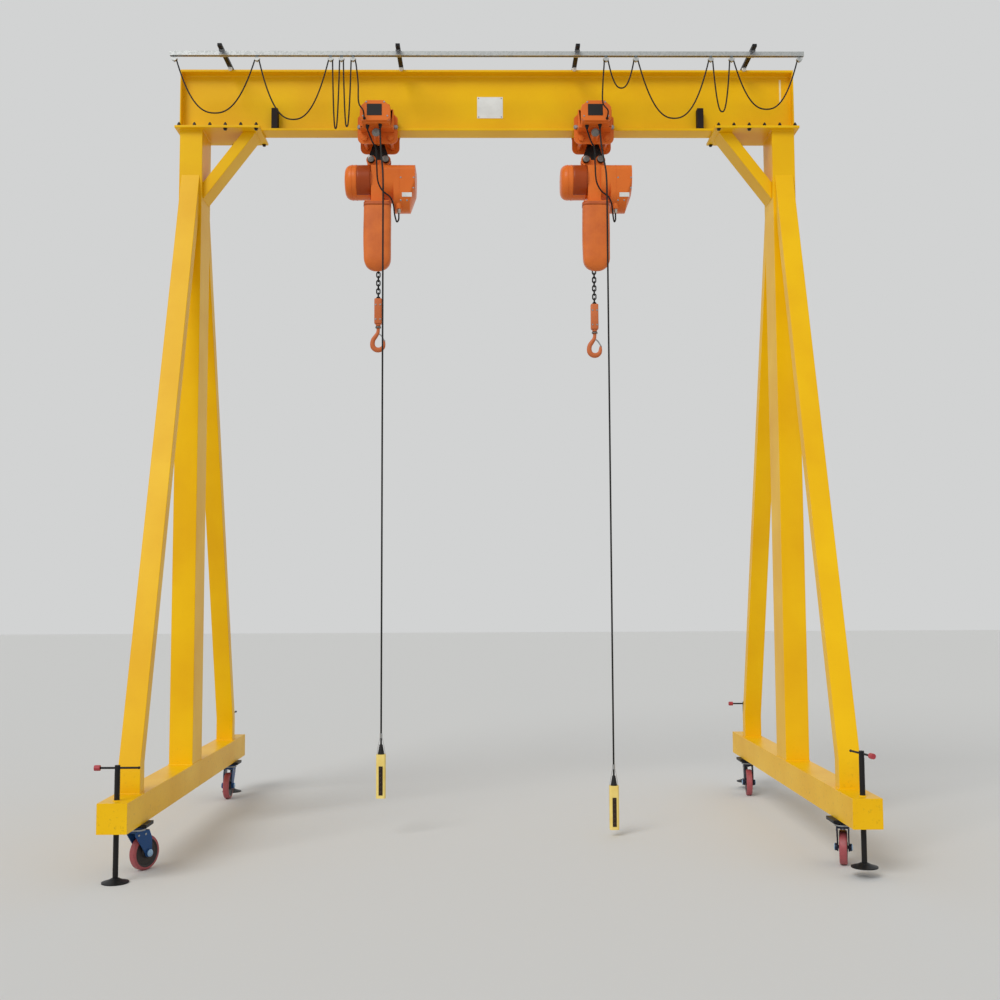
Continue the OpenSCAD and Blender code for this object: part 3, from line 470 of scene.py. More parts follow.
zinc_track = galvanised("galvanised_steel", "#C2C4C2", "#A6A9A7", 0.010)
plated_steel = worked_steel("zinc_plated_steel", "#B9BBBC", "#8E9092", 0.85, 0.32, 0.001)
turned_steel = worked_steel("turned_steel", "#8F8C87", "#5F5A55", 0.9, 0.34, 0.0008)
black_steel = worked_steel("blackened_steel", "#201D1B", "#100E0E", 0.5, 0.45, 0.0012)
chain_steel = worked_steel("hardened_chain_steel", "#2A2A2B", "#111112", 0.75, 0.36, 0.0012)
nickel = worked_steel("nickel_plated_brass", "#D8D5CC", "#A8A498", 0.95, 0.22, 0.0008)

# %% [markdown]
# ## Plastics and bare plates
#
# The pendants are moulded in pale yellow plastic with a fine spark-eroded skin. The plates on beam
# and hoists are plain: a white one on the web, dark ones on the drives. A noise of half a
# millimetre is the moulding's skin, and a slow one keeps the plates from looking printed.

# %% Moulded and coated plates


def moulded(name, colour, faded, roughness, grain=0.0006):
    """Plastic or coated sheet: fading in patches of 80 mm, skin of the given grain."""
    material, tree, shader, place = new_finish(name, {"Roughness": roughness, "Specular IOR Level": 0.35})
    fading = spread(tree, noise(tree, place, 12.0, 4.0), 0.35, 0.7)
    fine = noise(tree, place, 1 / grain, 1.0)
    surface(tree, shader, mix(tree, fading, colour, faded), None, fine, 0.25, 0.0002)
    return material


pendant_plastic = moulded("pale_yellow_abs", "#F4DC82", "#EACB6C", 0.42)
button_black = moulded("black_nylon", "#33210F", "#241609", 0.4)
white_plate = moulded("white_coated_sheet", "#EDEEEA", "#DDDEDA", 0.35)
dark_plate = moulded("black_coated_sheet", "#0E0A08", "#19120E", 0.5)
red_grip = moulded("red_vinyl_grip", "#B5434A", "#9C333B", 0.4)
# A pale finish for a painted highlight on the web.
painted_highlight_strip = moulded("painted_highlight_strip", "#F2E3B8", "#E6D29A", 0.5)

# %% [markdown]
# ## Dressing the CAD nodes
#
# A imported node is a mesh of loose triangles. A Weld modifier joins them, a planar Decimate turns
# each flat face back into one polygon, a Bevel rounds the edges, and weighted normals keep the
# faces flat between the rounds. The mesh itself stays untouched.

# %% Finish a CAD node


def dress(names, material, edge=0.0):
    """Gives CAD nodes a material, and rounds their edges by the given width."""
    for name in names:
        piece = nodes[name]
        piece.data.materials.clear()
        piece.data.materials.append(material)
        piece.data.polygons.foreach_set("use_smooth", np.ones(len(piece.data.polygons), bool))
        piece.modifiers.new("weld", "WELD").merge_threshold = 1e-5
        if edge:
            flat = piece.modifiers.new("flat faces", "DECIMATE")
            flat.decimate_type = "DISSOLVE"
            flat.angle_limit = math.radians(1)
            round_edges(piece, edge)
        else:
            split = piece.modifiers.new("crisp edges", "EDGE_SPLIT")
            split.split_angle = math.radians(35)


corners = [a + "_" + b for a in sides for b in ("front", "rear")]
dress(["main_beam", "saddle_plates", "left_column", "right_column", "left_foot_beam",
       "right_foot_beam", "knee_braces"], yellow_enamel, 0.003)
dress([corner + "_leg" for corner in corners], yellow_enamel, 0.003)
dress(["trolley_stops"], stop_rubber, 0.003)
dress(["festoon_track"], zinc_track)
dress(["festoon_arms"], black_enamel, 0.0015)
dress(["caster_plates"], black_enamel, 0.002)
dress([corner + "_jack" for corner in corners], black_enamel)
dress(["left_front_fork", "left_rear_fork"], blue_enamel, 0.001)
dress(["right_front_fork", "right_rear_fork"], navy_enamel, 0.001)
for side in sides:
    dress([side + "_trolley_drive", side + "_control_box"], orange_enamel, 0.008)
    dress([side + "_trolley_frame"], orange_enamel, 0.0015)
    dress([side + "_hoist_body"], orange_enamel)
    dress([side + "_trolley_wheels"], turned_steel)
    dress([side + "_suspender"], black_steel, 0.002)
    dress([side + "_pendant"], pendant_plastic, 0.004)
print("CAD nodes dressed")

# %% [markdown]
# ## Bolts
#
# A bolt head is three hexagonal rings, the last one smaller for the chamfer, on a turned washer. A
# cylinder primitive with six sides would do, but has no chamfer. One bolt is made and its points
# are copied to each hole.

# %% A bolt head


def bolt_head(across, height, washer):
    """A hexagonal head on a round washer, standing on Z = 0, with a chamfered top."""
    six = np.linspace(0, 2 * np.pi, 6, endpoint=False)
    corner = across / math.sqrt(3)
    ring = np.column_stack([np.cos(six), np.sin(six)])
    levels = [(corner, 0.15 * height), (corner, 0.85 * height), (0.86 * corner, height)]
    head = loft([np.column_stack([ring * r, np.full(6, z)]) for r, z in levels])
    disc = lathe([(0, 0), (washer / 2, 0), (washer / 2, 0.15 * height), (0, 0.15 * height)], 20)
    return join([disc, head])


# %% [markdown]
# ## The beam's own fittings
#
# Six bolts in two rows at each end hold the beam's saddle. Most are studs in tapped holes with a
# nut on top, and two in each row go right through and show their heads below. A white sheet, left
# bare, is riveted on the middle of the web. Weld beads are tubes with a fine ripple, half sunk in
# the corner.

# %% Saddle bolts
beam_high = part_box("main_beam")[1]
plate_low, plate_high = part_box("saddle_plates")
SADDLE_L = 0.600
BOLT_Y = 0.152
bolt_x = np.linspace(-0.272, 0.272, 6)
saddle_mid = plate_high.x - SADDLE_L / 2
spots = [(end * saddle_mid + x, y) for end in (-1, 1) for x in bolt_x for y in (-BOLT_Y, BOLT_Y)]
bolt_end = lathe([(0, 0.026), (0.005, 0.026), (0.006, 0.0245), (0.006, 0.010), (0, 0.010)], 14)
nut_and_end = join([bolt_head(0.021, 0.018, 0.030), bolt_end])
tops = repeated(nut_and_end, [(x, y, plate_high.z) for x, y in spots])
through_x = [end * (saddle_mid - x) for end in (-1, 1) for x in (bolt_x[5], bolt_x[3])]
heads = repeated(bolt_head(0.021, 0.013, 0.030), [(x, y, plate_low.z) for x in through_x
                                                  for y in (-BOLT_Y, BOLT_Y)], facing((0, 0, -1)))
make_piece("saddle_bolts", join([tops, heads]), black_steel, "frame")
print("saddle bolts:", len(spots))

# %% Bare plate and a painted highlight strip on the web
WEB_FRONT = -0.006
sheet_size = (0.185, 0.158, 0.002)
towards_viewer = facing((0, -1, 0))
plate_at = (0.015, WEB_FRONT, 5.095)
make_piece("web_plate", placed(slab(sheet_size), plate_at, towards_viewer), white_plate, "frame",
           0.0005)
rivet = lathe([(0, 0.003), (0.003, 0.0025), (0.0045, 0.001), (0.0045, 0)], 12)
RIVET_X, RIVET_Z = 0.082, 0.069
rivets = [(plate_at[0] + a * RIVET_X, WEB_FRONT - sheet_size[2], plate_at[2] + b * RIVET_Z)
          for a in (-1, 1) for b in (-1, 1)]
make_piece("web_plate_rivets", repeated(rivet, rivets, towards_viewer), plated_steel, "frame")
# Painted highlight: a pale strip on the web that stands in for light on an edge.
highlight_at = (2.118, WEB_FRONT, 5.220)
highlight_strip = placed(slab((0.013, 0.168, 0.0006)), highlight_at, towards_viewer)
make_piece("web_painted_highlight", highlight_strip, painted_highlight_strip, "frame")

# %% Weld beads


def bead(corner_points, size=0.005, ripple=0.008):
    """A tube along straight runs whose radius ripples: r (1 + 0.2 |sin(pi s / ripple)|)."""
    p = np.array(corner_points, float)
    steps = [max(int(np.linalg.norm(b - a) / (ripple / 2)), 2) for a, b in zip(p[:-1], p[1:])]
    runs = [np.linspace(a, b, n, endpoint=False) for a, b, n in zip(p[:-1], p[1:], steps)]
    path = np.vstack(runs + [p[-1:]])
    s = np.arange(len(path)) * ripple / 2
    radius = size * (1 + 0.2 * np.abs(np.sin(np.pi * s / ripple + 0.4)))
    return tube(path, radius, 6, aside=(0.3, 0.2, 1.0))


def seam_round(low, high, z):
    """A bead round a rectangle at height z."""
    x0, y0, x1, y1 = low[0], low[1], high[0], high[1]
    return bead([(x0, y0, z), (x1, y0, z), (x1, y1, z), (x0, y1, z), (x0, y0, z)])


foot_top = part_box("left_front_leg")[0].z
welds = []
LEG_FOOT_DEPTH = 0.083
for side in sides:
    low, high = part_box(side + "_column")
    welds.append(seam_round(low, high, foot_top))
    welds.append(seam_round(low, high, high.z))
    for end, name in ((-1, "front"), (1, "rear")):
        low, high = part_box(side + "_" + name + "_leg")
        outer = max(abs(low.y), abs(high.y)) * end
        inner = outer - end * LEG_FOOT_DEPTH
        welds.append(seam_round((low.x, min(outer, inner)), (high.x, max(outer, inner)), foot_top))
make_piece("frame_welds", join(welds), yellow_enamel, "frame", sharp=60)
print("weld beads:", len(welds))

# %% [markdown]
# ## The festoon
#
# The power cable hangs in loops from carriers that run in the galvanised track. When a trolley
# travels, the loops open or close. Here the cable and its carriers are fixed meshes, made at rest.

# %% Cable loops
TRACK_Y = -0.345
FESTOON_D = 0.010
CARRIER_HALF = 0.013
CLAMP_HALF = 0.007
DROP_SLING = 0.312
CLAMP_Z = 5.350 - 0.030 + 0.0025 - 0.020
LOOP_POWER = 2.4
carrier_x = {"left": [-2.170, -1.600, -1.090, -1.015, -0.935],
             "right": [2.170, 1.697, 1.552, 1.030, 0.822]}
loop_depth = {"left": [0.390, 0.435, 0.505, 0.490],
              "right": [0.360, 0.380, 0.425, 0.210]}
drop_lean = {"left": 0.040, "right": -0.026}
COVER_FRONT = -0.295
COVER_LOW = NECK_LOW + 0.006
ENTRY_OUT = 0.075
ENTRY_Z = COVER_LOW + 0.014


def cable_entry(side):
    """The X at which the power cable enters the drive's cover, on the side of the nearer column."""
    return trolley_x[side] + (-ENTRY_OUT if side == "left" else ENTRY_OUT)


def loop(x0, x1, depth):
    """z = top - depth (1 - |2t - 1|^2.4), between the edges of two carriers."""
    t = np.linspace(0, 1, 40)
    edge = math.copysign(CARRIER_HALF, x1 - x0)
    top = CLAMP_Z - SEAT - FESTOON_D / 2
    fall = (depth - SEAT - FESTOON_D / 2) * (1 - np.abs(2 * t - 1) ** LOOP_POWER)
    return np.column_stack([x0 + edge + (x1 - x0 - 2 * edge) * t, np.full(40, TRACK_Y), top - fall])


def drop_to_drive(side):
    """The last stretch, from the innermost carrier down to the front of the trolley's drive."""
    x0 = carrier_x[side][-1]
    lean = drop_lean[side]
    x1 = cable_entry(side)
    z = ENTRY_Z
    hanging = through([
        (x0 + lean * 0.5, TRACK_Y, CLAMP_Z - DROP_SLING * 0.1),
        (x0 + lean * 0.9, TRACK_Y, CLAMP_Z - DROP_SLING * 0.55),
        (x0 + lean, TRACK_Y, CLAMP_Z - DROP_SLING), (x1 - lean * 0.1, TRACK_Y + 0.004, z + 0.040),
        (x1, COVER_FRONT - 0.024, z + 0.006), (x1, COVER_FRONT - 0.012, z)], 8)
    return np.vstack([hanging, [(x1, COVER_FRONT - SEAT, z)]])


def clamped(x, way):
    """The straight stretch in the clamp of a carrier, on the cable's way inwards."""
    top = CLAMP_Z - SEAT - FESTOON_D / 2
    return np.array([(x - way * CLAMP_HALF, TRACK_Y, top), (x + way * CLAMP_HALF, TRACK_Y, top)])


for side in sides:
    xs = carrier_x[side]
    way = -1 if side == "right" else 1
    stretches = []
    for a, b, depth in zip(xs[:-1], xs[1:], loop_depth[side]):
        stretches += [clamped(a, way), loop(a, b, depth)]
    edge = (xs[-1] + way * CARRIER_HALF, TRACK_Y, CLAMP_Z - SEAT - FESTOON_D / 2)
    route = relaxed(np.vstack(stretches + [clamped(xs[-1], way), [edge], drop_to_drive(side)]))
    aside = (0.02, 1, 0.01)
    cable = make_piece(side + "_festoon", tube(route, FESTOON_D / 2, 10, aside), cable_rubber, None)
    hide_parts(side + "_festoon_cable")
    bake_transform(cable)
    print(side, "festoon cable:", round(run_of(route), 2), "m")

# %% Carriers
track_low, track_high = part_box("festoon_track")


def carrier_part():
    """Two small rollers, a hanger plate, a curved saddle for the cable and its two clamp screws."""
    wheel = lathe([(0, -0.003), (0.009, -0.003), (0.010, 0), (0.009, 0.003), (0, 0.003)], 16)
    rollers = [placed(wheel, (x, y, 0.0165), facing((0, 1, 0)))
               for x in (-0.010, 0.010) for y in (-0.007, 0.007)]
    neck = placed(slab((0.020, 0.004, 0.034)), (0, 0, -0.018))
    a = np.linspace(np.radians(200), np.radians(340), 12)
    arch = np.column_stack([0.022 * np.cos(a), 0.022 * np.sin(a) + 0.003])
    outline = np.vstack([arch, [(0.0207, 0.001), (-0.0207, 0.001)]])
    saddle = placed(prism(outline, 0.022), (0, 0.011, -0.020), facing((0, -1, 0)))
    screw = placed(bolt_head(0.006, 0.004, 0.009), (0, 0, -0.0385), facing((0, 0, -1)))
    screws = [placed(screw, (0, y, 0)) for y in (-0.0085, 0.0085)]
    return join(rollers + [neck, saddle] + screws)


for side in sides:
    xs = carrier_x[side]
    for number, x in enumerate(xs):
        spot = (x, TRACK_Y, CLAMP_Z + 0.020)
        carrier = make_piece(f"{side}_carrier_{number + 1}", placed(carrier_part(), spot), zinc_track,
                             None)
        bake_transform(carrier)
        if x == carrier_x["left"][0]:
            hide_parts("festoon_carriers")

# %% Clamps and bolts of the track's arms
arm_x = [-1.840, -0.620, 0.620, 1.840]
TRACK_HALF = (track_high.y - track_low.y) / 2
track_mid_y = (track_high.y + track_low.y) / 2
clip_parts = []
for f in (-1, 1):
    cheek_y = track_mid_y + f * (TRACK_HALF + 0.0015)
    foot_y = track_mid_y + f * (TRACK_HALF + 0.0105)
    clip_parts.append(placed(slab((0.036, 0.003, 0.024)), (0, cheek_y, track_high.z - 0.024)))
    clip_parts.append(placed(slab((0.036, 0.018, 0.003)), (0, foot_y, track_high.z - 0.003)))
    bolt_at = (0, foot_y + f * 0.0015, track_high.z - 0.003)
    clip_parts.append(placed(bolt_head(0.010, 0.006, 0.013), bolt_at, facing((0, 0, -1))))
make_piece("track_clips", repeated(join(clip_parts), [(x, 0, 0) for x in arm_x]), plated_steel, "frame",
           0.0006)
round_head = lathe([(0, 0.020), (0.009, 0.019), (0.014, 0.015), (0.0165, 0.008), (0.017, 0), (0, 0)], 20)
cap_places = [(x, -0.094, beam_high.z) for x in arm_x]
make_piece("arm_bolt_caps", repeated(round_head, cap_places, facing((0, 0, -1))), white_plate, "frame")

# %% [markdown]
# ## Casters
#
# A swivel caster is a pressed fork under a ball bearing, with a polyurethane tread moulded on a
# black core. Tread and core are one CAD node, so the material tells them apart by the distance from
# the axle, measured in coordinates that are moved to the axle and turned with the fork.

# %% Wheel finish
TRAIL = 0.060
AXLE_Z = 0.100
CASTER_X = 2.060
CASTER_Y = 1.250
turns = {"left_front": 210, "left_rear": 0, "right_front": 198, "right_rear": 8}


def signs(corner):
    """-1 for left and 1 for right, then -1 for front and 1 for rear."""
    return (-1 if corner.startswith("left") else 1), (-1 if corner.endswith("front") else 1)


def caster_places(corner):
    """The swivel axis on the floor, the turn of the fork about it, and the angle of that turn."""
    side, end = signs(corner)
    angle = -math.radians(turns[corner])
    spin = np.array(Matrix.Rotation(angle, 3, "Z"))
    return np.array((side * CASTER_X, end * CASTER_Y, 0)), spin, angle


def wheel_finish(corner):
    """Brick-red tread outside 83 mm from the axle, black core inside."""
    swivel, spin, angle = caster_places(corner)
    axle = swivel + spin @ np.array((0, -TRAIL, AXLE_Z))
    material, tree, shader, place = new_finish(corner + "_tread_and_core", {"IOR": 1.5})
    moved = add(tree, "ShaderNodeVectorMath", {0: place, 1: tuple(axle)}, operation="SUBTRACT")
    level = add(tree, "ShaderNodeVectorRotate", {
        "Vector": moved.outputs[0], "Angle": -angle}, rotation_type="Z_AXIS")
    parts = add(tree, "ShaderNodeSeparateXYZ", {"Vector": level.outputs[0]})
    flat = add(tree, "ShaderNodeCombineXYZ", {"Y": parts.outputs["Y"], "Z": parts.outputs["Z"]})
    length = add(tree, "ShaderNodeVectorMath", {0: flat.outputs[0]}, operation="LENGTH")
    radius = length.outputs["Value"]
    patches = noise(tree, place, 60.0, 5.0)
    red = mix(tree, patches, "#B4565C", "#93464B")
    black = mix(tree, patches, "#191415", "#2C2325")
    both = mix(tree, spread(tree, radius, 0.0825, 0.0835), black, red)
    rings = maths(tree, "SINE", maths(tree, "MULTIPLY", radius, 2600.0))
    surface(tree, shader, both, spread(tree, patches, low=0.35, high=0.55), rings, 0.15, 0.0003)
    return material


for corner in corners:
    dress([corner + "_wheel"], wheel_finish(corner))

# %% Fork fittings
cap_blue = worked_steel("pale_blue_cap", "#A9C8E4", "#7FA6CC", 0.5, 0.25, 0.001)
CHEEK_OUT = 0.036
BOSS_END = CHEEK_OUT + 0.012
hub_cap = lathe([(0, 0.006), (0.010, 0.0055), (0.017, 0.004), (0.0205, 0.0015), (0.0215, 0), (0, 0)], 28)
kingpin = lathe([(0, -0.012), (0.012, -0.012), (0.014, -0.009), (0.014, 0), (0, 0)], 20)
rivet_head = lathe([(0, 0.004), (0.004, 0.0035), (0.0065, 0.0015), (0.0075, 0), (0, 0)], 16)
dust_ring = lathe([(0.0465, 0), (0.050, 0.001), (0.050, 0.009), (0.0465, 0.010), (0.0465, 0)], 40)
CROWN_Z = 0.225
for corner in corners:
    swivel, spin = caster_places(corner)[:2]
    body = corner + "_caster"
    caps = [placed(hub_cap, (f * BOSS_END, -TRAIL, AXLE_Z), facing((f, 0, 0))) for f in (-1, 1)]
    make_piece(corner + "_hub_caps", placed(join(caps), swivel, spin), cap_blue, body)
    rivets = [placed(rivet_head, (f * CHEEK_OUT, y, 0.212), facing((f, 0, 0)))
              for f in (-1, 1) for y in (-0.035, 0.018)]
    fittings = join(rivets + [placed(kingpin, (0, 0, CROWN_Z)), placed(dust_ring, (0, 0, 0.236))])
    make_piece(corner + "_fork_fittings", placed(fittings, swivel, spin), plated_steel, body)

# %% [markdown]
# ## Screw jacks
#
# Each jack is a long screw with a round foot. Its thread is a helix: the radius rises and falls with
# height, and the angle shifts it, so that one turn climbs one pitch. A cut thread would need many
# more faces; this one surface with a dozen points round it reads as a thread from any distance.

# %% Thread and grips
JACK_Y = 1.512
JACK_X = 2.100
JACK_H = 0.647
THREAD_PITCH = 0.009
THREAD_LOW, THREAD_HIGH = 0.030, 0.610
THREAD_R, THREAD_RISE = 0.0151, 0.0007
GRIP_OUT = 0.113
HANDLE_Z = JACK_H - 0.015
handle_turn = {"left_front": 0, "left_rear": 90, "right_front": 102, "right_rear": 0}


def thread(z0, z1, r0, rise, sides=16):
    """r = r0 + rise (1 + cos(2 pi z / pitch - a)) / 2, on a grid of heights z and angles a."""
    z = np.arange(z0, z1, THREAD_PITCH / 5)
    a = np.linspace(0, 2 * np.pi, sides, endpoint=False)
    r = r0 + rise * (1 + np.cos(2 * np.pi * z[:, None] / THREAD_PITCH - a[None, :])) / 2
    r[0] = r[-1] = r0 - 0.001
    points = np.stack([r * np.cos(a), r * np.sin(a), np.repeat(z[:, None], sides, 1)], -1)
    return points.reshape(-1, 3), [grid_faces(len(z), sides, close_cols=True)]


grip = lathe([(0, -0.0165), (0.0145, -0.0165), (0.0158, -0.0155), (0.0162, 0), (0.0158, 0.0155),
              (0.0145, 0.0165), (0, 0.0165)], 24)
for corner in corners:
    side, end = signs(corner)
    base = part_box(corner + "_jack")[0].z
    at = (side * JACK_X, end * JACK_Y, base)
    helix = placed(thread(THREAD_LOW, THREAD_HIGH, THREAD_R, THREAD_RISE), at)
    make_piece(corner + "_screw_thread", helix, black_steel, corner + "_jack", sharp=80)
    a = math.radians(handle_turn[corner])
    along = np.array((math.cos(a), math.sin(a), 0))
    spot = np.array(at) - along * GRIP_OUT + (0, 0, HANDLE_Z)
    make_piece(corner + "_jack_grip", placed(grip, spot, facing(along)), red_grip, corner + "_jack")

# %% [markdown]
# ## Trolleys
#
# The trolley's side plates straddle the beam. Its drive is a cast housing with a cover that stands
# over the rest like a lid. The cover gets a bare dark plate and four screws, the load shaft a turned
# end, and the cables leave through black glands.

# %% Trolley fittings
PLATE_FRONT = -0.105
SHAFT_Z = NECK_LOW - 0.049
SHAFT_FRONT = -0.215
gland = lathe([(0, 0), (0.013, 0), (0.013, -0.010), (0.0105, -0.012), (0.0105, -0.020), (0.0065, -0.028),
               (0, -0.028)], 20)
sleeve_boot = lathe([(0, 0), (0.010, 0), (0.010, 0.004), (0.0075, 0.006), (0.0058, 0.011), (0, 0.011)], 18)
shaft_cap = lathe([(0, 0.005), (0.005, 0.005), (0.006, 0.003), (0.020, 0.003), (0.022, 0.0045),
                   (0.028, 0.0045), (0.0298, 0.003), (0.0298, 0)], 36)
big_bolt = bolt_head(0.024, 0.014, 0.032)
screw_head = lathe([(0, 0.003), (0.0045, 0.003), (0.006, 0.0015), (0.006, 0)], 14)
cover_holes = [(-0.085, 0.032), (0.085, 0.032), (-0.062, 0.132), (0.062, 0.132)]
gland_xy = [(0.030, -0.240), (-0.060, -0.225)]
BOLT_Z = NECK_LOW + 0.034
for side in sides:
    x = trolley_x[side]
    body = side + "_trolley"
    plate_spot = (x - 0.006, COVER_FRONT, COVER_LOW + 0.077)
    plate = placed(slab((0.104, 0.082, 0.0025)), plate_spot, towards_viewer)
    make_piece(side + "_drive_plate", plate, dark_plate, body, 0.0006)
    holes = [(x + a, COVER_FRONT, COVER_LOW + b) for a, b in cover_holes]
    make_piece(side + "_cover_screws", repeated(screw_head, holes, towards_viewer), plated_steel, body)
    bolts = [(x + a, PLATE_FRONT, BOLT_Z) for a in (-0.129, 0.129)]
    rear_bolts = [(x + a * s, -PLATE_FRONT, BOLT_Z) for a in (0.129, 0.060) for s in (-1, 1)]
    fixings = join([repeated(big_bolt, bolts, towards_viewer),
                    repeated(big_bolt, rear_bolts, facing((0, 1, 0)))])
    make_piece(side + "_trolley_bolts", fixings, plated_steel, body)
    make_piece(side + "_shaft_cap", placed(shaft_cap, (x, SHAFT_FRONT, SHAFT_Z), towards_viewer),
               turned_steel, body)
    glands = [placed(gland, (x + a, y, NECK_LOW)) for a, y in gland_xy]
    glands.append(placed(sleeve_boot, (cable_entry(side), COVER_FRONT, ENTRY_Z), towards_viewer))
    make_piece(side + "_glands", join(glands), boot_rubber, body)

# %% [markdown]
# ## Hoists
#
# The hoist's motor has a domed end shield with a bead round it, and a darker orange patch on its
# front. The control box is a pressed shell with a round belly, a seam, five screws and an empty
# white label, and its cable enters through a boss. The patch is part of a cylinder a little wider
# than the motor.

# %% Motor, panel, box and pins
HOIST_TOP = 4.642
HOIST_LOW = 4.322
MOTOR_Z = HOIST_TOP - 0.100
MOTOR_R = 0.1235


def cylinder_patch(x0, x1, a0, a1, r, steps=24):
    """x from x0 to x1, and the angle below the horizontal from a0 to a1, on a cylinder along X."""
    x = np.linspace(x0, x1, 8)
    a = np.radians(np.linspace(a0, a1, steps))
    x, a = np.meshgrid(x, a, indexing="ij")
    points = np.stack([x, -r * np.cos(a), -r * np.sin(a)], -1)
    return points.reshape(-1, 3), [grid_faces(8, steps)]


def ring_on_motor(x, width, r):
    """A flat band round the motor at x."""
    band = lathe([(r - 0.003, -width / 2), (r, -width / 2), (r + 0.002, -width / 4), (r + 0.002, width / 4),
                  (r, width / 2), (r - 0.003, width / 2)], 64)
    return placed(band, (x, 0, MOTOR_Z), facing((1, 0, 0)))


hanging = through([
    (-0.060, -0.225, 4.865), (-0.057, -0.224, 4.837), (-0.030, -0.200, 4.771), (-0.005, -0.180, 4.725),
    (0.000, -0.168, 4.625), (0.008, -0.162, 4.500), (0.042, -0.160, 4.428), (0.094, -0.158, 4.384),
    (0.117, -0.150, 4.330), (0.125, -0.134, 4.266), (0.137, -0.104, 4.224), (0.149, -0.082, 4.244),
    (0.150, -0.075, 4.270)], 6)
BOX_LEFT, BOX_RIGHT = 0.0465, 0.2665
BOX_Y = 0.125
NOTCH = (0.068, 0.075)
CUT = (0.040, 0.110)
TOP_R = 0.050
BOTTOM_R = 0.120


def box_section(x, low, grow=0.0, steps=12):
    """A rounded rectangle in Y and Z at x, its corners quarter circles of the radius at top and bottom."""
    a = np.radians(np.linspace(0, 90, steps))
    corners_yz = [(1, HOIST_TOP, TOP_R), (-1, HOIST_TOP, TOP_R), (-1, low, BOTTOM_R), (1, low, BOTTOM_R)]
    rings = []
    for number, (side_y, z, r) in enumerate(corners_yz):
        side_z = 1 if number < 2 else -1
        angle = a + number * np.pi / 2
        y = side_y * (BOX_Y - r) + (r + grow) * np.cos(angle)
        rings.append(np.column_stack([y, z - side_z * r + (r + grow) * np.sin(angle)]))
    ring = np.vstack(rings)
    return np.column_stack([np.full(len(ring), x), ring])


def box_shell(stations, grow=0.0):
    """Sections at (x, lowest height) stations, joined by quads and capped at both ends."""
    return loft([box_section(x, low, grow) for x, low in stations])


def on_box_front(part, x, rise):
    """The part set on the box's front at this rise above its bottom, square to the rounded surface."""
    drop = max(BOTTOM_R - rise, 0) / BOTTOM_R
    out = math.sqrt(1 - drop**2)
    spot = (x, -(BOX_Y - BOTTOM_R + BOTTOM_R * out), HOIST_LOW + rise)
    return placed(part, spot, facing((0, -out, -drop)))


box_stations = [(BOX_LEFT, HOIST_LOW + NOTCH[1]), (BOX_LEFT + NOTCH[0], HOIST_LOW + NOTCH[1]),
                (BOX_LEFT + NOTCH[0] + 0.0005, HOIST_LOW), (BOX_RIGHT - CUT[0], HOIST_LOW),
                (BOX_RIGHT, HOIST_LOW + CUT[1])]
seam_stations = [(0.1515, HOIST_LOW), (0.1560, HOIST_LOW)]
box_screws = [(0.166, 0.215), (0.258, 0.215), (0.166, 0.056), (0.210, 0.056), (0.256, 0.140)]
LABEL_SIZE = (0.070, 0.030, 0.0014)
LABEL_X, LABEL_RISE = 0.210, 0.092
PIN_X, PIN_OUT, PIN_Z = 0.052, 0.062, HOIST_TOP + 0.056
pin_end = lathe([(0, 0.003), (0.007, 0.003), (0.0085, 0.0015), (0.018, 0.0015), (0.0235, 0)], 28)
control_route = np.vstack([[(-0.060, -0.225, NECK_LOW)], hanging, [(0.150, -0.075, 4.293 - SEAT)]])
CONTROL_D = 0.011
ENTRY = (0.150, -0.075, HOIST_LOW)
for side in sides:
    x = trolley_x[side]
    body = side + "_trolley"
    # A darker orange patch on the motor's front, just off its surface.
    panel = placed(cylinder_patch(-0.150, -0.048, -58, 62, MOTOR_R + 0.0008), (x, 0, MOTOR_Z))
    patch = make_piece(side + "_motor_panel", panel, dark_orange, body)
    patch.modifiers.new("thickness", "SOLIDIFY").thickness = 0.002
    bands = join([placed(ring_on_motor(-0.186, 0.006, MOTOR_R), (x, 0, 0)),
                  placed(ring_on_motor(-0.158, 0.010, MOTOR_R), (x, 0, 0))])
    make_piece(side + "_motor_bands", bands, orange_enamel, body)
    shell = make_piece(side + "_box_shell", placed(box_shell(box_stations), (x, 0, 0)), orange_enamel, body,
                       0.005)
    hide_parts(side + "_control_box")
    boss = placed(lathe([(0.021, 0.045), (0.021, 0.002), (0.019, 0), (0, 0)], 32), ENTRY)
    seam = placed(join([box_shell(seam_stations, 0.0015), boss]), (x, 0, 0))
    make_piece(side + "_box_seam", seam, orange_enamel, body, 0.0006)
    label = on_box_front(slab(LABEL_SIZE), x + LABEL_X, LABEL_RISE)
    make_piece(side + "_bare_label", label, white_plate, body, 0.0004)
    screws = [on_box_front(screw_head, x + a, rise) for a, rise in box_screws]
    make_piece(side + "_box_screws", join(screws), plated_steel, body)
    pins = [placed(pin_end, (x + a, f * PIN_OUT, PIN_Z), facing((0, f, 0)))
            for a in (-PIN_X, PIN_X) for f in (-1, 1)]
    make_piece(side + "_pin_ends", join(pins), turned_steel, body)
    nut = placed(bolt_head(0.026, 0.012, 0.030), turned=facing((0, 0, -1)))
    cone = lathe([(0.0145, 0), (0.0145, -0.018), (0.009, -0.029), (0.006, -0.030)], 20)
    fitting = placed(placed(join([nut, cone]), ENTRY), (x, 0, 0))
    make_piece(side + "_box_gland", fitting, nickel, body)
    lead = placed(tube(control_route, CONTROL_D / 2, 12, (1, 0.3, 0.1)), (x, 0, 0))
    wire = make_piece(side + "_control_lead", lead, cable_rubber, body)
    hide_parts(side + "_control_cable")

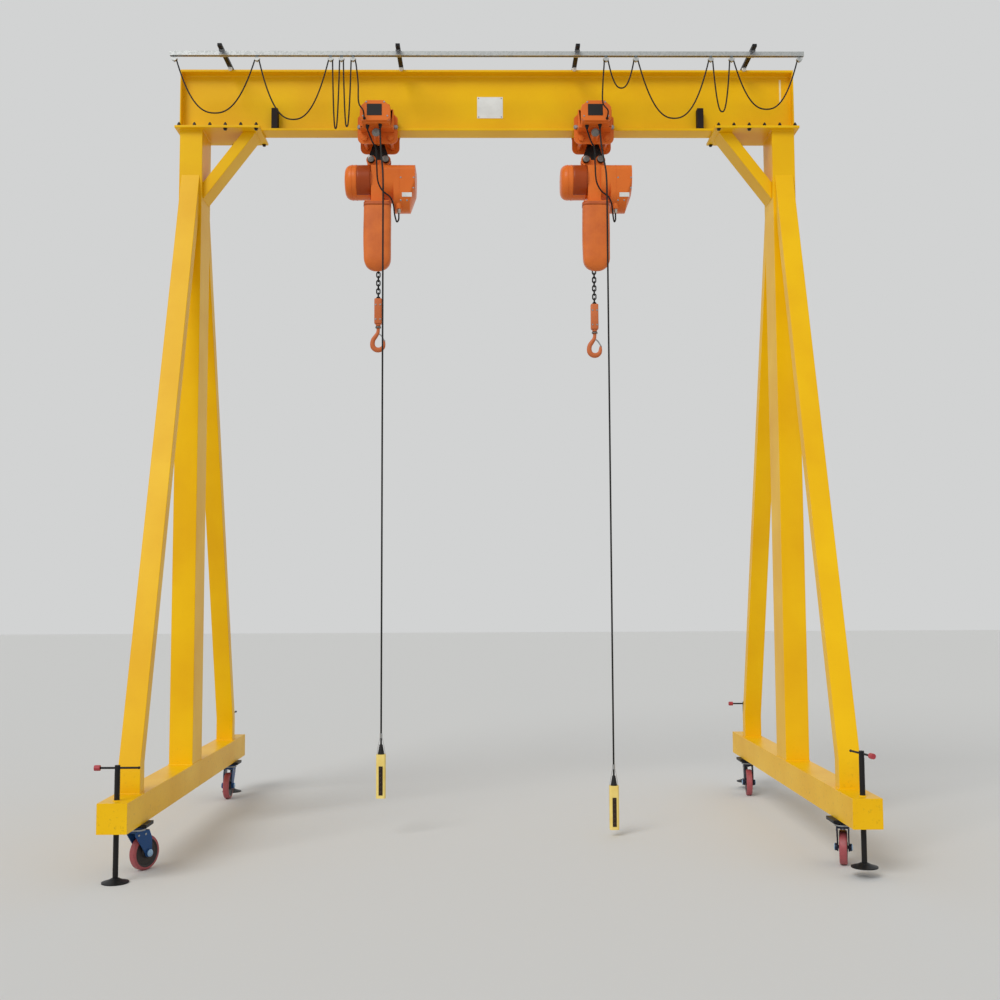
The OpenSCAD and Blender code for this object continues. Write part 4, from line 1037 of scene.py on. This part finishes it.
# %% [markdown]
# ## Chain bags
#
# The slack chain gathers in a bag of coated canvas. It is a loft: a rounded rectangle that keeps
# its width, bulges where the chain lies, and closes in a soft round bottom. Cloth simulation would
# give much the same at this size, so the folds are low waves in the formula. The weave follows the
# cloth's own UV map, in metres, and is drawn at 5 mm because the real 1 mm thread wouldn't show.

# %% Coated canvas


def coated_canvas(name, colour, deep):
    """Plain weave under a coat: crossed bands on the UV map; a band's period is 0.314 / scale."""
    material, tree, shader, place = new_finish(name, {"Roughness": 0.55, "IOR": 1.48, "Sheen Weight": 0.15})
    cloth = add(tree, "ShaderNodeUVMap", uv_map="cloth").outputs[0]
    warp, weft = [add(tree, "ShaderNodeTexWave", {"Vector": cloth, "Scale": 62.8},
                      bands_direction=way).outputs["Fac"] for way in "XY"]
    greasy = spread(tree, noise(tree, place, 9.0, 5.0), 0.4, 0.75)
    weave = maths(tree, "ADD", warp, weft)
    surface(tree, shader, mix(tree, greasy, colour, deep), None, weave, 0.35, 0.0006)
    return material


canvas = coated_canvas("coated_canvas", "#DC6E1C", "#C55A14")
hem_canvas = coated_canvas("folded_hem_canvas", "#BE5616", "#A04612")

# %% Bag


def bag_surface(low, high, rows=70, cols=72):
    """A superellipse of power 4, its half width and depth shaped by the depth t below the hem."""
    u = np.linspace(0, 2 * np.pi, cols)
    s = np.linspace(0, 1, rows)[:, None]
    t = np.where(s < 0.5, 1.6 * s, 0.8 + 0.2 * np.sin(np.pi * (s - 0.5)))
    end = np.clip((t - 0.80) / 0.20, 0, 1)
    wide = 0.965 + 0.03 * np.sin(np.pi * np.clip(t * 1.15, 0, 1))
    deep = 0.90 + 0.08 * np.sin(np.pi * np.clip(t * 1.1, 0, 1))
    half_w = (high.x - low.x) / 2 * wide * (1 - end**2.5) ** 0.5
    half_d = (high.y - low.y) / 2 * deep * (1 - end**2.2) ** 0.5
    c, s = np.cos(u)[None, :], np.sin(u)[None, :]
    fold = 1 + 0.010 * np.sin(3 * u[None, :] + 9 * t) * t + 0.008 * np.sin(7 * u[None, :] - 5 * t) * t
    x = half_w * np.sign(c) * np.abs(c) ** 0.5 * fold
    y = half_d * np.sign(s) * np.abs(s) ** 0.5 * fold
    z = np.broadcast_to(high.z - t * (high.z - low.z), x.shape)
    mid = ((low.x + high.x) / 2, (low.y + high.y) / 2, 0)
    points = np.stack([x, y, z], -1).reshape(-1, 3) + np.array(mid)
    around = np.broadcast_to(u[None, :] / (2 * np.pi) * 0.58, x.shape)
    down = np.broadcast_to(t * (high.z - low.z), x.shape)
    return (points, [grid_faces(rows, cols)]), np.stack([around, down], -1).reshape(-1, 2)


HEM_ROWS = 3
BAG_COLS = 72
for side in sides:
    low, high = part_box(side + "_chain_bag")
    body = side + "_trolley"
    sack, cloth_uv = bag_surface(low, high)
    bag = make_piece(side + "_canvas_bag", sack, canvas, body, sharp=70, uv=cloth_uv)
    shell = bag.modifiers.new("cloth thickness", "SOLIDIFY")
    shell.thickness = 0.002
    shell.offset = -1
    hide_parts(side + "_chain_bag")
    band, band_uv = bag_surface(low, high, 64, BAG_COLS)
    part_of_hem = HEM_ROWS * BAG_COLS
    hem = (band[0][:part_of_hem], [grid_faces(HEM_ROWS, BAG_COLS)])
    trim = make_piece(side + "_bag_hem", hem, hem_canvas, body, sharp=70,
                      uv=band_uv[:part_of_hem])
    thick = trim.modifiers.new("fold", "SOLIDIFY")
    thick.thickness = 0.005
    thick.offset = 0

# %% [markdown]
# ## Load chains
#
# A hoist chain is wound in, and its slack drops into the bag. Moving pieces can't do that, so the
# whole chain is one fixed mesh. Its links are laid out for the lowest hook, where they hang open at
# their pitch, and each point is taken back to its rest place, where the links inside the hoist are
# packed tight. A short guide ring under the gearbox covers the place where the links begin to
# close up.

# %% Links
WIRE_D = 0.010
LINK_W = 0.034
LINK_PITCH = 0.030
CHAIN_TOP = HOIST_LOW + 0.053 - SEAT
POCKET_DEPTH = 0.034
LINK_ROOM = 0.003
LOWEST = 2.9
GUIDE_H = 0.022
GUIDE_IN = HOIST_LOW - 0.0255
PACKED_TOP = GUIDE_IN + 0.120


def link_part(inside, around=16, sides=6):
    """A stadium (bend cos a, bend sin a +- straight / 2), with a round wire on it."""
    bend = (LINK_W - WIRE_D) / 2
    straight = inside - (LINK_W - 2 * WIRE_D)
    a = np.linspace(0, 2 * np.pi, around, endpoint=False) + np.pi / around
    height = bend * np.sin(a) + np.sign(np.sin(a)) * straight / 2
    line = np.column_stack([bend * np.cos(a), np.zeros(around), height])
    ahead = np.roll(line, -1, 0) - np.roll(line, 1, 0)
    ahead /= np.linalg.norm(ahead, axis=1, keepdims=True)
    across = np.cross(ahead, (0, 1, 0))
    b = np.linspace(0, 2 * np.pi, sides, endpoint=False)[None, :, None]
    ring = np.cos(b) * np.array((0, 1, 0)) + np.sin(b) * across[:, None, :]
    return (line[:, None, :] + WIRE_D / 2 * ring).reshape(-1, 3), grid_faces(around, sides, True, True)


def stretched(z):
    """Where a point at rest height z goes when the hook is at its lowest."""
    t = np.clip((z - GUIDE_IN) / (PACKED_TOP - GUIDE_IN), 0, 1)
    return z - LOWEST * (1 - t * t * (3 - 2 * t))


def chain_part(block_top):
    """Links laid out for the lowest hook, then each point taken back to its place at rest."""
    low = block_top - POCKET_DEPTH + LINK_ROOM
    run = CHAIN_TOP - low - SEAT - 2 * WIRE_D
    pitch = run / round(run / LINK_PITCH)
    link, faces = link_part(pitch + SEAT)
    turned = link[:, [1, 0, 2]] * (1, -1, 1)
    first_z = low - LOWEST + WIRE_D + (pitch + SEAT) / 2
    count = int((PACKED_TOP - first_z) / pitch)
    number = np.arange(count)
    points = np.where((number % 2 == 0)[:, None, None], link[None], turned[None])
    points = points + np.stack([0 * number, 0 * number, first_z + number * pitch], -1)[:, None, :]
    table = np.concatenate([[low - 0.1], np.linspace(GUIDE_IN, PACKED_TOP, 40000)])
    points[..., 2] = np.interp(points[..., 2], stretched(table), table)
    all_faces = faces[None] + (number * len(link))[:, None, None]
    return (points.reshape(-1, 3), [all_faces.reshape(-1, 4)]), count


for side in sides:
    block_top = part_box(side + "_hook_block")[1].z
    part, count = chain_part(block_top)
    chain = make_piece(side + "_chain_links", placed(part, (trolley_x[side], 0, 0)), chain_steel, None,
                       sharp=80)
    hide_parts(side + "_load_chain")
    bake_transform(chain)
    guide = lathe([(0.0195, 0.004), (0.0195, -0.019), (0.0210, -GUIDE_H), (0.0245, -GUIDE_H),
                   (0.0255, -0.020), (0.0255, -0.004), (0.0290, -0.002), (0.0290, 0.004)], 36)
    make_piece(side + "_chain_guide", placed(guide, (trolley_x[side], 0, HOIST_LOW)), black_steel,
               side + "_trolley")
    print(side, "chain links:", count)

# %% [markdown]
# ## Hook blocks
#
# The block is cast in two halves round the swivel, held by socket screws on either side of the
# seam. It is a loft: rounded rectangles stacked along Z, which turn over the top edge and go down
# into the round pocket where the chain's last link hangs on its pin. A cube with a Bevel would have
# the same outside, but not the pocket in the same surface.

# %% Block, pin and screws
POCKET_R = 0.020
NECK_R = 0.017
NECK_H = 0.014
PIN_R = (LINK_W - 2 * WIRE_D - 0.003) / 2


def rounded_ring(half_x, half_y, r, z, steps=9):
    """Four quarter circles of radius r, at the corners of a rectangle with these half widths, at z."""
    a = np.radians(np.linspace(0, 90, steps))
    turn = np.pi / 2 * np.arange(4)[:, None] + a[None, :]
    mid_x = (half_x - r) * np.array([1, -1, -1, 1])[:, None]
    mid_y = (half_y - r) * np.array([1, 1, -1, -1])[:, None]
    x = mid_x + r * np.cos(turn)
    y = mid_y + r * np.sin(turn)
    return np.column_stack([x.ravel(), y.ravel(), np.full(x.size, z)])


def block_part(half_x, half_y, height):
    """Rings up the neck and the outside, over the top edge and down the pocket."""
    top_r, side_r = 0.008, 0.010
    outside = [(0.006, top_r, NECK_H), (0.002, side_r, NECK_H + 0.002), (0, side_r, NECK_H + 0.007),
               (0, side_r, height - 0.006), (0.001, side_r, height - 0.002), (0.003, top_r, height)]
    inside = [(POCKET_R + 0.001, height), (POCKET_R, height - 0.001), (POCKET_R, height - POCKET_DEPTH)]
    rings = [rounded_ring(NECK_R, NECK_R, NECK_R, z) for z in (0, NECK_H)]
    rings += [rounded_ring(half_x - less, half_y - less, r, z) for less, r, z in outside]
    rings += [rounded_ring(r, r, r, z) for r, z in inside]
    return loft(rings)


for side in sides:
    low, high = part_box(side + "_hook_block")
    x = trolley_x[side]
    body = side + "_hook_block"
    block = block_part((high.x - low.x) / 2, (high.y - low.y) / 2, high.z - low.z)
    shell = make_piece(side + "_block_shell", placed(block, (x, 0, low.z)), salmon_enamel, body)
    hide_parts(side + "_hook_block")
    pin_z = high.z - POCKET_DEPTH + LINK_ROOM + WIRE_D + SEAT + PIN_R
    pin = tube([(x, low.y + 0.001, pin_z), (x, high.y - 0.001, pin_z)], PIN_R, 20, (0, 0, 1))
    make_piece(side + "_chain_pin", pin, turned_steel, body)
    spots = [(x + a, low.y, low.z + b) for a in (-0.016, 0.016) for b in (0.045, 0.150)]
    backs = [(a, -b, c) for a, b, c in spots]
    screws = join([repeated(screw_head, spots, towards_viewer),
                   repeated(screw_head, backs, facing((0, 1, 0)))])
    make_piece(side + "_block_screws", screws, plated_steel, body)
print("hook block:", round(high.z - low.z, 3), "m tall")

# %% [markdown]
# ## Hooks
#
# A load hook is forged: a round shank bends into a bowl that is thickest at its bottom and runs out
# to a blunt tip. The same middle line and widths as in the CAD model go through a Catmull-Rom curve
# here, so no facets show, and the section is a little flatter from front to back. A sprung latch
# closes the mouth.

# %% Hook, latch and swivel ring
BOWL_R = 0.040
HOOK_LINE = [
    (0, 3.3, 0.012), (0, 2.9, 0.012), (0, 2.5, 0.012), (-0.1, 2.0, 0.013), (-0.45, 1.45, 0.015),
    (-0.85, 0.85, 0.016), (-1.0, 0.2, 0.017), (-0.9, -0.45, 0.018), (-0.5, -0.87, 0.018),
    (0, -1.0, 0.018), (0.5, -0.87, 0.017), (0.87, -0.5, 0.0145), (1.0, 0, 0.012),
    (1.02, 0.4, 0.0095), (1.10, 0.70, 0.0068), (1.12, 0.755, 0.0052), (1.13, 0.79, 0.0015)]
FLATTER = 0.88
for side in sides:
    x = trolley_x[side]
    low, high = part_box(side + "_hook_block")
    centre = low.z - SEAT - 3.3 * BOWL_R
    line = through(HOOK_LINE, 6)
    middle = np.column_stack([line[:, 0] * BOWL_R, 0 * line[:, 0], line[:, 1] * BOWL_R])
    points, faces = tube(middle, line[:, 2], 24)
    forged = placed((points * (1, FLATTER, 1), faces), (x, 0, centre))
    hook = make_piece(side + "_forged_hook", forged, salmon_enamel, side + "_hook",
                      sharp=60)
    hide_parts(side + "_hook")
    latch_path = through([
        (0.010, 0, centre + 0.074), (0.024, 0, centre + 0.060), (0.038, 0, centre + 0.038),
        (0.047, 0, centre + 0.020)], 6)
    latch = join([placed(tube(latch_path, 0.0035, 8), (x, y, 0)) for y in (-0.008, 0, 0.008)])
    make_piece(side + "_hook_latch", latch, plated_steel, side + "_hook")
    collar = lathe([(0.0125, -0.004), (0.019, -0.004), (0.021, -0.006), (0.021, -0.014), (0.019, -0.016),
                    (0.0125, -0.016)], 32)
    make_piece(side + "_swivel_ring", placed(collar, (x, 0, low.z)), turned_steel, side + "_hook")
print("hook bowl:", round(2 * BOWL_R - 0.029, 3), "m across")

# %% [markdown]
# ## Pendants
#
# The pendant's buttons are dark caps in one column on the front, each with a soft dome. Two steel
# wires take the weight off the cable: they run from a sleeve above the boot to the case's shoulders.

# %% Buttons, boots and wires
PENDANT_X = 0.062
PENDANT_Y = -0.350
BOOT_H = 0.062
BUTTONS, BUTTON_LOW, BUTTON_STEP = 6, 0.040, 0.030
STRIP_SIZE, STRIP_Z = (0.026, 0.188, 0.0030), 0.115
boot_z = np.linspace(BOOT_H, 0, 49)
ribs = 0.0017 * np.abs(np.sin(6 * np.pi * boot_z / BOOT_H)) ** 0.6
boot_r = 0.020 - 0.011 * boot_z / BOOT_H + 0.0006 + ribs
boot_profile = [(0.0065, 0.066), (0.0085, 0.0655)] + list(zip(boot_r, boot_z))
sleeve_profile = [(0.0065, 0), (0.0085, 0.002), (0.0085, 0.030), (0.0065, 0.032)]
wire_xz = [(0.0075, 0.108), (0.016, 0.070), (0.025, 0.020), (0.0265, -0.004)]
button = lathe([(0, 0.0045), (0.004, 0.0042), (0.007, 0.003), (0.009, 0.0005), (0.009, -0.004)], 20)
for side in sides:
    low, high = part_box(side + "_pendant")
    x = trolley_x[side] + PENDANT_X
    body = side + "_trolley"
    front = PENDANT_Y - 0.025
    rows = [(x, front - 0.006, low.z + BUTTON_LOW + i * BUTTON_STEP) for i in range(BUTTONS)]
    strip = placed(slab(STRIP_SIZE), (x, front - 0.0005, low.z + STRIP_Z), towards_viewer)
    make_piece(side + "_button_strip", strip, button_black, body, 0.001)
    make_piece(side + "_buttons", repeated(button, rows, towards_viewer), button_black, body)
    neck_z = high.z - 0.062
    boot = lathe(boot_profile, 28)
    make_piece(side + "_boot", placed(boot, (x, PENDANT_Y, neck_z)), boot_rubber, body)
    sleeve = placed(lathe(sleeve_profile, 20), (x, PENDANT_Y, neck_z + 0.105))
    wires = [tube(through([(x + f * a, PENDANT_Y, neck_z + rise) for a, rise in wire_xz], 5), 0.0012, 6)
             for f in (-1, 1)]
    make_piece(side + "_pendant_wires", join(wires + [sleeve]), plated_steel, body)

# %% [markdown]
# ## Light and floor
#
# A wide soft sun from the upper left and an even pale surround light the crane at a plain level, so
# colours come out as they were written. The floor is a pale painted slab. What the camera sees
# behind it is a little lighter than what lights the object, through Light Path.

# %% Floor, surround and lamp
scene.view_settings.view_transform = "Standard"
floor_paint = new_finish("pale_floor", {"Base Color": paint("#D6D6D3"), "Roughness": 0.8})[0]
slab_on_ground = placed(slab((80, 80, 0.02)), (0, 0, -0.0205))
floor = make_piece("floor", slab_on_ground, floor_paint, None)
world = bpy.data.worlds.new("surround")
scene.world = world
world.use_nodes = True
tree = world.node_tree
tree.nodes.clear()
path_kind = add(tree, "ShaderNodeLightPath")
seen = path_kind.outputs["Is Camera Ray"]
for ray in ("Is Glossy Ray", "Is Transmission Ray"):
    seen = maths(tree, "MAXIMUM", seen, path_kind.outputs[ray])
around = add(tree, "ShaderNodeBackground", {"Color": paint("#F4F5F7"), "Strength": 0.6})
behind = add(tree, "ShaderNodeBackground", {"Color": paint("#DCDDDD"), "Strength": 0.9})
mixed = add(tree, "ShaderNodeMixShader", {0: seen, 1: around.outputs[0], 2: behind.outputs[0]})
add(tree, "ShaderNodeOutputWorld", {"Surface": mixed.outputs[0]})
sun = bpy.data.objects.new("soft_sun", bpy.data.lights.new("soft_sun", "SUN"))
scene.collection.objects.link(sun)
sun.data.energy = 1.45
sun.data.angle = math.radians(30)
sun.rotation_euler = (math.radians(50), 0, math.radians(-34))
